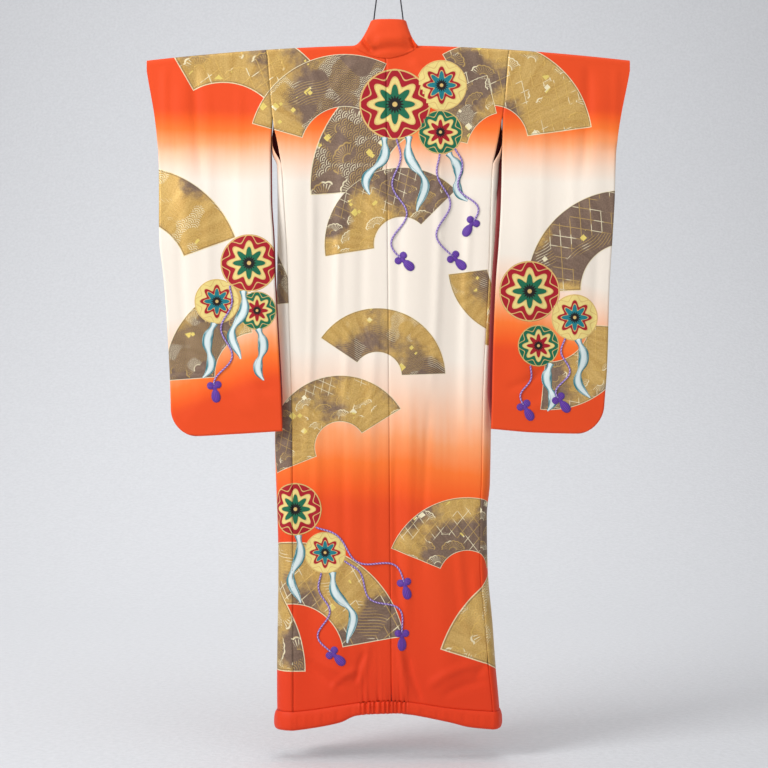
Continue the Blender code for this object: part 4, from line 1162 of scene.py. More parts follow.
# Start, turn, length, swing and waves: an arrangement made for these thread balls
RIBBONS = (
    Streamer(-0.010, -0.532, -14.0, 0.150, 0.022, 1.0),
    Streamer(0.050, -0.530, 12.0, 0.190, -0.020, 1.2),
    Streamer(0.150, -0.572, 22.0, 0.130, 0.016, 1.0),
    Streamer(-0.360, -0.918, -8.0, 0.170, 0.018, 1.2),
    Streamer(-0.432, -0.998, -12.0, 0.140, -0.016, 1.0),
    Streamer(-0.322, -1.012, 6.0, 0.130, 0.014, 1.0),
    Streamer(0.470, -1.038, 8.0, 0.150, 0.018, 1.1),
    Streamer(0.402, -1.098, -4.0, 0.120, -0.014, 1.0),
    Streamer(-0.225, -1.526, -3.0, 0.170, 0.016, 1.2),
    Streamer(-0.140, -1.618, 18.0, 0.180, -0.020, 1.2),
)
TWISTED_CORDS = (
    Streamer(0.020, -0.536, 2.0, 0.300, 0.024, 2.0),
    Streamer(0.128, -0.574, 4.0, 0.260, -0.026, 1.6),
    Streamer(0.166, -0.560, 14.0, 0.190, 0.022, 1.5),
    Streamer(-0.394, -0.905, -4.0, 0.250, 0.022, 1.8),
    Streamer(0.352, -1.104, -10.0, 0.100, 0.014, 1.0),
    Streamer(0.438, -1.036, -2.0, 0.150, -0.020, 1.4),
    Streamer(-0.182, -1.506, 58.0, 0.260, 0.026, 1.5),
    Streamer(-0.168, -1.620, 4.0, 0.200, -0.022, 1.6),
    Streamer(-0.110, -1.590, 42.0, 0.230, 0.024, 1.6),
)


class Stitching(Enum):
    """Kinds of raised embroidery, with the number of their finish on the piece."""

    RIBBON = 0
    TWIST = 1
    TASSEL = 2


@dataclass
class Embroidery:
    """Ribbons, cords and tassels sewn flat onto the back of one or more pieces."""

    name: str
    grounds: list[bpy.types.Object]
    slot: str
    from_x: float
    to_x: float
    ribbon_width: float = 0.026
    ribbon_flatness: float = 0.045
    twist_radius: float = 0.0022
    tassel_length: float = 0.044
    tassel_flatness: float = 0.20
    tassel_steps: int = 26
    lobe_radius: float = 0.0092
    lobe_end: float = 0.02
    waist_depth: float = 0.5
    waist_rate: float = 7.0
    waist_start: float = 0.9
    tip_taper: float = 0.6
    weld: float = 0.00001
    pitch: float = 0.0025
    sides: int = 12
    above: float = -0.3
    tassel_profile: Measures = Measures("share radius", (
        (0.00, 0.0040), (0.14, 0.0064), (0.26, 0.0050), (0.40, 0.0086), (0.68, 0.0112),
        (0.88, 0.0088), (1.00, 0.0030),
    ))

    def surfaces(self) -> list[BVHTree]:
        """Search trees of the cloth below.

        Returns:
            One tree for each layer of cloth.
        """
        trees = []
        for ground in self.grounds:
            mesh = bmesh.new()
            mesh.from_mesh(ground.data)
            trees.append(BVHTree.FromBMesh(mesh))
            mesh.free()
        return trees

    def drop(self, trees: list[BVHTree], x: float, z: float) -> float | None:
        """Y of the nearest cloth behind a place, or nothing where there is none."""
        hits = [tree.ray_cast(Vector((x, self.above, z)), Vector((0.0, 1.0, 0.0)))[0]
                for tree in trees]
        found = [hit.y for hit in hits if hit is not None]
        return min(found) if found else None

    def strand(self, mesh: bmesh.types.BMesh, layer: bmesh.types.BMLayerItem,
               trees: list[BVHTree], line: Array, radii: Array, flatness: float,
               kind: Stitching) -> None:
        """Add one flattened tube that lies on the cloth.

        Args:
            mesh: receives the faces.
            layer: the face corners' layer for length and turn.
            trees: the cloth below.
            line: the middle line, in x and z.
            radii: half the width at each point of the line.
            flatness: height over width.
            kind: the finish.
        """
        run = np.concatenate(([0.0], np.cumsum(np.linalg.norm(np.diff(line, axis=0), axis=1))))
        along = np.gradient(line, axis=0)
        along = along / np.linalg.norm(along, axis=1)[:, None]
        side = np.stack((along[:, 1], -along[:, 0]), axis=-1)
        turns = np.linspace(0.0, 1.0, self.sides + 1)
        across, height = np.cos(turns * 2.0 * math.pi), np.sin(turns * 2.0 * math.pi)
        ends = ease(np.minimum(run, run[-1] - run) / (0.5 * self.pitch) + 0.25)
        wide = (radii * ends)[:, None]
        flat = line[:, None, :] + side[:, None, :] * (across[None, :] * wide)[..., None]
        level = flatness * wide * (height[None, :] + 0.7)
        points = np.zeros((*flat.shape[:2], 3))
        for row, column in np.ndindex(points.shape[:2]):
            x, z = flat[row, column]
            y = self.drop(trees, x, z)
            if y is None:
                y = points[row, column - 1, 1] if column else points[row - 1, 0, 1]
            points[row, column] = (x, y, z)
        points[..., 1] -= level
        cut = np.stack(np.broadcast_arrays(run[:, None], turns[None, :]), axis=-1)
        old = len(mesh.faces)
        lay_grid(mesh, Patch(points, cut, Panel.BACK), layer)
        mesh.faces.ensure_lookup_table()
        for face in mesh.faces[old:]:
            face.material_index = kind.value

    def tassel(self, mesh: bmesh.types.BMesh, layer: bmesh.types.BMLayerItem,
               trees: list[BVHTree], place: Array, way: Array) -> None:
        """A round-lobed knot at a cord's end, with its threads on the way that it points.

        Args:
            mesh: takes the tassel.
            layer: holds its run values.
            trees: the cloth below.
            place: where the cord ends.
            way: which way the cord points there.
        """
        way = way / np.linalg.norm(way)
        beside = np.array((way[1], -way[0]))
        reach = np.linspace(0.0, 1.0, self.tassel_steps)
        line = place + way * reach[:, None] * self.tassel_length
        self.strand(mesh, layer, trees, line, self.tassel_profile.at("radius", reach),
                    self.tassel_flatness, Stitching.TASSEL)
        round_off = np.sqrt(np.maximum(self.lobe_end, 1.0 - (2.0 * reach - 1.0) ** 2))
        for side in (-1.0, 1.0):
            lobe = place + beside * side * reach[:, None] * 2.0 * self.lobe_radius
            self.strand(mesh, layer, trees, lobe, self.lobe_radius * round_off,
                        self.tassel_flatness, Stitching.TASSEL)

    def mine(self, x: float) -> bool:
        """Whether a motif that starts at this place is on this piece."""
        return self.from_x <= x < self.to_x

    def build(self, finishes: list[bpy.types.Material]) -> bpy.types.Object:
        """The piece, with one finish for each kind of stitching.

        Args:
            finishes: a material for each kind.

        Returns:
            The finished object.
        """
        mesh = bmesh.new()
        layer = mesh.loops.layers.float_vector.new("run")
        trees = self.surfaces()
        for ribbon in RIBBONS:
            if self.mine(ribbon.x):
                line = ribbon.route(self.pitch)
                share = np.linspace(0.0, 1.0, len(line))
                waist = np.sin(share * self.waist_rate + self.waist_start) ** 4
                half = self.ribbon_width / 2.0 * (1.0 - self.waist_depth * waist)
                half = half * (1.0 - self.tip_taper * share ** 6)
                self.strand(mesh, layer, trees, line, half, self.ribbon_flatness,
                            Stitching.RIBBON)
        for cord in TWISTED_CORDS:
            if self.mine(cord.x):
                line = cord.route(self.pitch)
                self.strand(mesh, layer, trees, line, np.full(len(line), self.twist_radius),
                            1.0, Stitching.TWIST)
                self.tassel(mesh, layer, trees, line[-1], line[-1] - line[-2])
        bmesh.ops.remove_doubles(mesh, verts=mesh.verts, dist=self.weld)
        bmesh.ops.holes_fill(mesh, edges=mesh.edges, sides=0)
        piece = make_piece(self.name, mesh, (0.0, -1.0, 0.0), 0.0)
        for finish in finishes:
            piece.data.materials.append(finish)
        return piece


@dataclass
class HangingCord:
    """The doubled cord that carries the rod, from one tie up to the hook and down again."""

    radius: float = 0.00175
    sides: int = 10
    points: int = 38
    foot_x: float = 0.040
    rod_radius: float = 0.008
    seam_gap: float = 0.0003
    leg: tuple[tuple[float, float], ...] = (
        (0.0000, -0.0020), (0.0050, -0.0040), (0.0085, -0.0110), (0.0125, -0.0400),
        (0.0200, -0.1050), (0.0290, -0.1750), (0.0368, -0.2375), (0.0395, -0.2700),
    )

    @staticmethod
    def smooth(route: tuple, pitch: float) -> Array:
        """Evenly spaced points on a smooth curve through a route.

        Args:
            route: points of the curve.
            pitch: distance between the new points.

        Returns:
            The new points.
        """
        points = np.array(route, float)
        steps = np.concatenate(([0.0], np.cumsum(np.linalg.norm(np.diff(points, axis=0),
                                                                axis=1))))
        fine = np.linspace(0.0, steps[-1], max(8, round(steps[-1] / pitch)))
        slopes = np.gradient(points, steps, axis=0)
        index = np.clip(np.searchsorted(steps, fine, side="right") - 1, 0, len(steps) - 2)
        width = (steps[index + 1] - steps[index])[:, None]
        t = (fine[:, None] - steps[index][:, None]) / width
        return ((2 * t ** 3 - 3 * t ** 2 + 1) * points[index]
                + (t ** 3 - 2 * t ** 2 + t) * width * slopes[index]
                + (3 * t ** 2 - 2 * t ** 3) * points[index + 1]
                + (t ** 3 - t ** 2) * width * slopes[index + 1])

    def route(self, form: GarmentForm) -> Array:
        """Points from the left foot over the hook to the right foot.

        Args:
            form: the garment's lines.

        Returns:
            The points.
        """
        foot_z = float(form.ridge_z(self.foot_x)) - form.fold_radius + self.rod_radius
        foot_z += 2.0 * self.seam_gap + 2.0 * self.radius
        right = [*self.leg, (self.foot_x, foot_z)]
        left = [(-x, z) for x, z in right[:0:-1]]
        flat = self.smooth((*left, *right), 0.0005)
        picked = flat[np.linspace(0, len(flat) - 1, self.points).round().astype(int)]
        return np.stack((picked[:, 0], np.zeros(len(picked)), picked[:, 1]), axis=-1)

    def build(self, form: GarmentForm, finish: bpy.types.Material) -> bpy.types.Object:
        """The dressed cord.

        Args:
            form: the garment's lines.
            finish: the cord's material.

        Returns:
            The finished object.
        """
        path = self.route(form)
        run = np.concatenate(([0.0], np.cumsum(np.linalg.norm(np.diff(path, axis=0), axis=1))))
        along = np.gradient(path, axis=0)
        along = along / np.linalg.norm(along, axis=1)[:, None]
        side = np.stack((along[:, 2], np.zeros(len(path)), -along[:, 0]), axis=-1)
        turns = np.linspace(0.0, 1.0, self.sides + 1)
        across = np.cos(turns * 2.0 * math.pi)[None, :, None] * self.radius
        behind = np.sin(turns * 2.0 * math.pi)[None, :, None] * self.radius
        points = path[:, None, :] + side[:, None, :] * across
        points = points + np.array((0.0, 1.0, 0.0)) * behind
        cut = np.stack(np.broadcast_arrays(run[:, None], turns[None, :]), axis=-1)
        mesh = bmesh.new()
        layer = mesh.loops.layers.float_vector.new("run")
        lay_grid(mesh, Patch(points, cut, Panel.BACK), layer)
        bmesh.ops.remove_doubles(mesh, verts=mesh.verts, dist=0.00001)
        bmesh.ops.holes_fill(mesh, edges=mesh.edges, sides=0)
        piece = make_piece("hanging_cord_braid", mesh, (0.0, -1.0, 0.0), 0.0)
        piece.data.materials.append(finish)
        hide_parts("hanging_cord")
        return (piece, tuple(path[0]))[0]


def srgb(red: int, green: int, blue: int) -> tuple[float, float, float, float]:
    """Scene colour of a screen colour whose parts run from 0 to 255."""
    parts = [value / 255.0 for value in (red, green, blue)]
    linear = [p / 12.92 if p <= 0.04045 else ((p + 0.055) / 1.055) ** 2.4 for p in parts]
    return (*linear, 1.0)


class Signal:
    """One output of a node tree, with arithmetic that adds Math nodes."""

    def __init__(self, tree: "Tree", socket: bpy.types.NodeSocket) -> None:
        """Keep the tree and the socket that this signal comes from."""
        self.tree = tree
        self.socket = socket

    def math(self, operation: str, *others: "Signal | float") -> "Signal":
        """Result of a Math node on this signal and others."""
        return self.tree.math(operation, self, *others)

    def __add__(self, other: "Signal | float") -> "Signal":
        """Sum."""
        return self.math("ADD", other)

    def __sub__(self, other: "Signal | float") -> "Signal":
        """Difference."""
        return self.math("SUBTRACT", other)

    def __rsub__(self, other: float) -> "Signal":
        """Difference from a number."""
        return self.tree.math("SUBTRACT", other, self)

    def __mul__(self, other: "Signal | float") -> "Signal":
        """Product."""
        return self.math("MULTIPLY", other)

    def __truediv__(self, other: "Signal | float") -> "Signal":
        """Quotient."""
        return self.math("DIVIDE", other)

    def __neg__(self) -> "Signal":
        """Opposite."""
        return self.math("MULTIPLY", -1.0)

    def __abs__(self) -> "Signal":
        """Size without sign."""
        return self.math("ABSOLUTE")

    def __gt__(self, other: "Signal | float") -> "Signal":
        """1 where greater, else 0."""
        return self.math("GREATER_THAN", other)

    def __lt__(self, other: "Signal | float") -> "Signal":
        """1 where less, else 0."""
        return self.math("LESS_THAN", other)

    __radd__ = __add__
    __rmul__ = __mul__

    def fract(self) -> "Signal":
        """Part after the decimal point."""
        return self.math("FRACT")

    def floor(self) -> "Signal":
        """Whole part."""
        return self.math("FLOOR")

    def near(self, value: float, width: float) -> "Signal":
        """1 where the signal is within a width of a value, else 0."""
        return self.math("COMPARE", value, width)

    def step(self, low: float, high: float) -> "Signal":
        """Soft step from 0 at low to 1 at high."""
        return self.tree.signal("ShaderNodeMapRange", {"interpolation_type": "SMOOTHSTEP"},
                                {0: self, 1: low, 2: high})


Value = Signal | float


class Tree:
    """The node tree of one material, made by expressions."""

    def __init__(self, name: str) -> None:
        """Start a material with an empty tree.

        Args:
            name: the material's name.
        """
        self.material = bpy.data.materials.new(name)
        self.material.use_nodes = True
        self.nodes = self.material.node_tree.nodes
        self.links = self.material.node_tree.links
        self.shader = self.nodes["Principled BSDF"]

    def node(self, kind: str, settings: dict | None = None,
             values: dict | None = None) -> bpy.types.Node:
        """Add any node.

        Args:
            kind: the node's type.
            settings: its properties, which are set first; "stops" are a ramp's stops.
            values: numbers, colours or signals for its sockets, by index or name.

        Returns:
            The new node.
        """
        node = self.nodes.new(kind)
        for key, value in (settings or {}).items():
            if key == "stops":
                self.set_stops(node.color_ramp, value)
            else:
                setattr(node, key, value)
        for key, value in (values or {}).items():
            if isinstance(value, Signal):
                self.links.new(value.socket, node.inputs[key])
            else:
                node.inputs[key].default_value = value
        return node

    @staticmethod
    def set_stops(ramp: bpy.types.ColorRamp, stops: tuple) -> None:
        """Give a ramp its stops, each a place and a colour."""
        while len(ramp.elements) < len(stops):
            ramp.elements.new(0.5)
        for element, (place, colour) in zip(ramp.elements, stops):
            element.position = place
            element.color = colour

    def signal(self, kind: str, settings: dict | None = None, values: dict | None = None,
               output: int | str = 0) -> Signal:
        """Output of a new node."""
        return Signal(self, self.node(kind, settings, values).outputs[output])

    def math(self, operation: str, *values: Value) -> Signal:
        """Output of a new Math node."""
        return self.signal("ShaderNodeMath", {"operation": operation},
                           dict(enumerate(values)))

    def attribute(self, name: str) -> Signal:
        """A vector that the mesh carries."""
        return self.signal("ShaderNodeAttribute", {"attribute_name": name}, output="Vector")

    def split(self, vector: Signal) -> tuple[Signal, Signal, Signal]:
        """The three parts of a vector."""
        node = self.node("ShaderNodeSeparateXYZ", None, {0: vector})
        return tuple(Signal(self, output) for output in node.outputs)

    def vector(self, x: Value, y: Value, z: Value = 0.0) -> Signal:
        """A vector from three parts."""
        return self.signal("ShaderNodeCombineXYZ", None, {0: x, 1: y, 2: z})

    def noise(self, place: Signal, scale: float, detail: float = 2.0,
              output: str = "Fac") -> Signal:
        """Soft noise around 0.5."""
        return self.signal("ShaderNodeTexNoise", None,
                           {"Vector": place, "Scale": scale, "Detail": detail}, output)

    def blend(self, share: Value, first: object, second: object) -> Signal:
        """Mix of two colours."""
        return self.signal("ShaderNodeMix", {"data_type": "RGBA"},
                           {0: share, 6: first, 7: second}, output=2)

    def ramp(self, share: Signal, stops: tuple) -> Signal:
        """Colour from a ramp."""
        return self.signal("ShaderNodeValToRGB", {"stops": stops}, {0: share})

    def total(self, parts: list[Signal]) -> Signal:
        """Sum of several signals."""
        result = parts[0]
        for part in parts[1:]:
            result = result + part
        return result

    def bump(self, height: Signal, distance: float, strength: float = 1.0) -> Signal:
        """Normal of a surface with small relief."""
        return self.signal("ShaderNodeBump", None, {
            "Height": height, "Distance": distance, "Strength": strength})

    def dress(self, **values: object) -> bpy.types.Material:
        """Set the shader's sockets, named with underscores for spaces.

        Returns:
            The finished material.
        """
        for key, value in values.items():
            socket = self.shader.inputs[key.replace("_", " ")]
            if isinstance(value, Signal):
                self.links.new(value.socket, socket)
            else:
                socket.default_value = value
        return self.material


class Filling(Enum):
    """Line patterns that fill a fan."""

    WAVES = 0
    PINES = 1
    LATTICE = 2
    STREAMS = 3


SPREAD_CODE = 3.5
FILLINGS = len(Filling)
INNER_START = 0.35
INNER_STEP = 0.05
NOWHERE = (9.0, 9.0, 0.0)


@dataclass(frozen=True)
class Fan:
    """A painted folding fan: where its ribs meet, its size and which way it opens.

    The filling and the inner edge, in steps from the smallest, are packed into one code.
    """

    x: float
    z: float
    radius: float
    turn: float
    half_spread: float
    filling: int
    inner_steps: int

    def inner(self) -> float:
        """Inner edge of the leaf, as a share of the radius."""
        return INNER_START + INNER_STEP * self.inner_steps

    def local(self, cut: Array) -> Array:
        """Places seen from where the ribs meet, in radii, with the fan's code.

        Args:
            cut: places in the flat pattern.

        Returns:
            Across, along and code; the code's fraction is half the spread.
        """
        dx, dz = (cut[..., 0] - self.x) / self.radius, (cut[..., 1] - self.z) / self.radius
        cos, sin = math.cos(math.radians(self.turn)), math.sin(math.radians(self.turn))
        code = self.filling + FILLINGS * self.inner_steps
        code += math.radians(self.half_spread) / SPREAD_CODE
        return np.stack((dx * cos - dz * sin, dx * sin + dz * cos,
                         np.full_like(dx, code)), axis=-1)

    def outside(self, cut: Array) -> Array:
        """How far each place lies outside the fan, below 0 inside it."""
        across, along = self.local(cut)[..., :2].transpose(-1, *range(cut.ndim - 1))
        reach = np.hypot(across, along)
        side = (np.abs(np.arctan2(across, along)) - math.radians(self.half_spread)) * reach
        return np.maximum(np.maximum(self.inner() - reach, reach - 1.0), side) * self.radius


@dataclass(frozen=True)
class ThreadBall:
    """A ball wound with coloured thread, embroidered flat."""

    x: float
    z: float
    radius: float
    code: int

    def local(self, cut: Array) -> Array:
        """Places seen from the middle, in radii, with the ball's code."""
        dx, dz = (cut[..., 0] - self.x) / self.radius, (cut[..., 1] - self.z) / self.radius
        return np.stack((dx, dz, np.full_like(dx, self.code)), axis=-1)

    def outside(self, cut: Array) -> Array:
        """How far each place lies outside the ball, below 0 inside it."""
        reach = np.hypot(cut[..., 0] - self.x, cut[..., 1] - self.z)
        return reach - self.radius


W, P, L, S = (filling.value for filling in Filling)
BACKS = (Panel.BACK, Panel.SLEEVE_BACK)
WRAP = (Panel.BACK, Panel.FRONT)
FRONT = (Panel.FRONT,)
SLEEVE_BACKS = (Panel.SLEEVE_BACK,)
SLEEVE_FRONTS = (Panel.SLEEVE_FRONT,)

# Layer, the panels that a motif may lie on, and the motif
LAYOUT = (
    ("fan_under", BACKS, Fan(-0.414, -0.547, 0.302, 16, 46, P, 3)),
    ("fan_over", BACKS, Fan(-0.110, -0.565, 0.242, -24, 50, S, 2)),
    ("fan_under", (Panel.BACK,), Fan(0.126, -0.657, 0.323, -59, 35, W, 2)),
    ("fan_under", BACKS, Fan(0.260, -0.542, 0.252, 26, 56, P, 0)),
    ("fan_over", (Panel.BACK,), Fan(0.296, -0.570, 0.200, -46, 32, W, 3)),
    ("fan_over", (Panel.BACK,), Fan(0.033, -0.802, 0.194, -27, 72, P, 0)),
    ("fan_under", SLEEVE_BACKS, Fan(-0.641, -0.883, 0.280, 30, 40, S, 3)),
    ("fan_under", SLEEVE_BACKS, Fan(-0.326, -1.127, 0.230, -50, 44, W, 2)),
    ("fan_under", SLEEVE_BACKS, Fan(0.591, -0.915, 0.250, -42, 50, L, 2)),
    ("fan_over", SLEEVE_BACKS, Fan(0.399, -0.995, 0.220, 140, 46, P, 2)),
    ("fan_under", WRAP, Fan(0.329, -0.853, 0.182, -142, 45, S, 2)),
    ("fan_under", (Panel.BACK,), Fan(-0.028, -1.131, 0.171, 16, 72, S, 0)),
    ("fan_under", WRAP, Fan(-0.120, -1.307, 0.179, -27, 85, P, 0)),
    ("fan_under", WRAP, Fan(-0.241, -1.828, 0.285, 10, 70, L, 2)),
    ("fan_over", WRAP, Fan(-0.526, -1.867, 0.320, 60, 30, W, 2)),
    ("fan_under", WRAP, Fan(0.196, -1.637, 0.205, 1, 69, P, 0)),
    ("fan_under", WRAP, Fan(0.456, -1.917, 0.345, -40, 32, W, 0)),
    ("fan_under", FRONT, Fan(-0.194, -0.090, 0.300, 166, 47, P, 2)),
    ("fan_under", FRONT, Fan(0.346, -0.070, 0.252, 154, 56, P, 0)),
    ("fan_over", FRONT, Fan(-0.440, -0.960, 0.205, 25, 62, W, 0)),
    ("fan_over", FRONT, Fan(0.430, -1.080, 0.215, -20, 62, L, 0)),
    ("fan_over", FRONT, Fan(-0.480, -1.420, 0.180, -22, 66, S, 0)),
    ("fan_over", FRONT, Fan(0.500, -1.640, 0.200, -14, 66, P, 0)),
    ("fan_under", SLEEVE_FRONTS, Fan(-0.416, -0.112, 0.300, 166, 47, P, 3)),
    ("fan_under", SLEEVE_FRONTS, Fan(0.260, -0.090, 0.252, 154, 56, P, 0)),
    ("fan_over", SLEEVE_FRONTS, Fan(-0.400, -0.960, 0.210, -12, 62, L, 1)),
    ("fan_over", SLEEVE_FRONTS, Fan(0.420, -1.000, 0.215, 15, 62, W, 1)),
    ("ball", BACKS, ThreadBall(0.016, -0.450, 0.090, 0)),
    ("ball", BACKS, ThreadBall(0.133, -0.402, 0.064, 1)),
    ("ball", BACKS, ThreadBall(0.130, -0.520, 0.056, 2)),
    ("ball", SLEEVE_BACKS, ThreadBall(-0.346, -0.850, 0.072, 0)),
    ("ball", SLEEVE_BACKS, ThreadBall(-0.426, -0.945, 0.056, 1)),
    ("ball", SLEEVE_BACKS, ThreadBall(-0.326, -0.968, 0.048, 2)),
    ("ball", SLEEVE_BACKS, ThreadBall(0.350, -0.920, 0.076, 0)),
    ("ball", SLEEVE_BACKS, ThreadBall(0.462, -0.985, 0.058, 1)),
    ("ball", SLEEVE_BACKS, ThreadBall(0.372, -1.055, 0.052, 2)),
    ("ball", WRAP, ThreadBall(-0.232, -1.462, 0.066, 0)),
    ("ball", WRAP, ThreadBall(-0.158, -1.570, 0.052, 1)),
    ("ball", FRONT, ThreadBall(-0.400, -1.330, 0.060, 0)),
    ("ball", FRONT, ThreadBall(0.420, -1.400, 0.060, 1)),
)


@dataclass(frozen=True)
class DyeAndShadePlan:
    """Where each panel fades from orange to cream and back, and where painted shade darkens the
    orange towards the hem.
    """

    rise: tuple[float, float] = (-0.4525, -0.6450)
    body_fall: tuple[float, float] = (-1.065, -1.470)
    sleeve_fall: tuple[float, float] = (-0.9025, -1.1525)
    # Heights over which painted shade darkens the body's orange towards the hem
    deep: tuple[float, float] = (-1.45, -1.90)
    right_lag: float = 0.035
    outer_lag: float = 0.090
    right_lead: float = 0.075
    ripple: float = 0.004

    def shares(self, cut: Array) -> Array:
        """Cream share and painted hem shade of the orange at each place.

        Args:
            cut: place in the flat pattern and number of the panel.

        Returns:
            Vectors of cream share, painted hem shade and 0.
        """
        u, v, panel = cut[..., 0], cut[..., 1], cut[..., 2]
        wavy = v + self.ripple * wave_sum(u * 16.0, 11)
        sleeve = (panel == Panel.SLEEVE_BACK.value) | (panel == Panel.SLEEVE_FRONT.value)
        body_lag = self.right_lag * ease(u / 0.25)
        sleeve_lag = self.outer_lag * ease((np.abs(u) - 0.28) / 0.30)
        sleeve_lag = sleeve_lag - self.right_lead * (u > 0.0)
        rise = self.fade(wavy, self.rise)
        fall = np.where(sleeve, self.fade(wavy + sleeve_lag, self.sleeve_fall),
                        self.fade(wavy + body_lag, self.body_fall))
        cream = rise * (1.0 - fall) * (panel != Panel.COLLAR.value)
        # Painted shade: the body's orange darkens towards the hem
        deep = self.fade(v, self.deep) * ~sleeve
        return np.stack((cream, deep, np.zeros_like(cream)), axis=-1)

    @staticmethod
    def fade(v: Array, ends: tuple[float, float]) -> Array:
        """Straight change from 0 to 1 between two heights."""
        return np.clip((v - ends[0]) / (ends[1] - ends[0]), 0.0, 1.0)


@dataclass(frozen=True)
class Dyer:
    """Writes the layout of the dyed ground, its painted hem shade and the motifs on a piece, for
    its finish to read.
    """

    plan: DyeAndShadePlan = DyeAndShadePlan()
    layers: tuple[str, ...] = ("fan_under", "fan_over", "ball")

    def paint(self, piece: bpy.types.Object) -> None:
        """Give every face corner its cream share, its share of painted hem shade and its place
        in the nearest motifs.

        Args:
            piece: a dressed piece of cloth.
        """
        data = piece.data
        cut = np.zeros(len(data.loops) * 3, np.float32)
        data.attributes["cut"].data.foreach_get("vector", cut)
        cut = cut.reshape(-1, 3).astype(float)
        starts = np.zeros(len(data.polygons), np.int32)
        totals = np.zeros(len(data.polygons), np.int32)
        data.polygons.foreach_get("loop_start", starts)
        data.polygons.foreach_get("loop_total", totals)
        centres = np.add.reduceat(cut, starts, axis=0) / totals[:, None]
        # Cream share and painted hem shade
        self.write(data, "dye_and_shade", self.plan.shares(cut))
        for layer in self.layers:
            motifs = [(panels, motif) for name, panels, motif in LAYOUT if name == layer]
            distances = np.stack([
                np.where(np.isin(centres[:, 2], [panel.value for panel in panels]),
                         motif.outside(centres[:, :2]), 99.0)
                for panels, motif in motifs
            ])
            nearest = np.repeat(distances.argmin(axis=0), totals)
            absent = np.repeat(distances.min(axis=0) > 1.0, totals)
            places = np.tile(np.array(NOWHERE), (len(cut), 1))
            for index, (_, motif) in enumerate(motifs):
                chosen = (nearest == index) & ~absent
                places[chosen] = motif.local(cut[chosen][:, :2])
            self.write(data, layer, places)

    @staticmethod
    def write(data: bpy.types.Mesh, name: str, values: Array) -> None:
        """Store one vector for each face corner."""
        layer = data.attributes.new(name, "FLOAT_VECTOR", "CORNER")
        layer.data.foreach_set("vector", values.astype(np.float32).ravel())


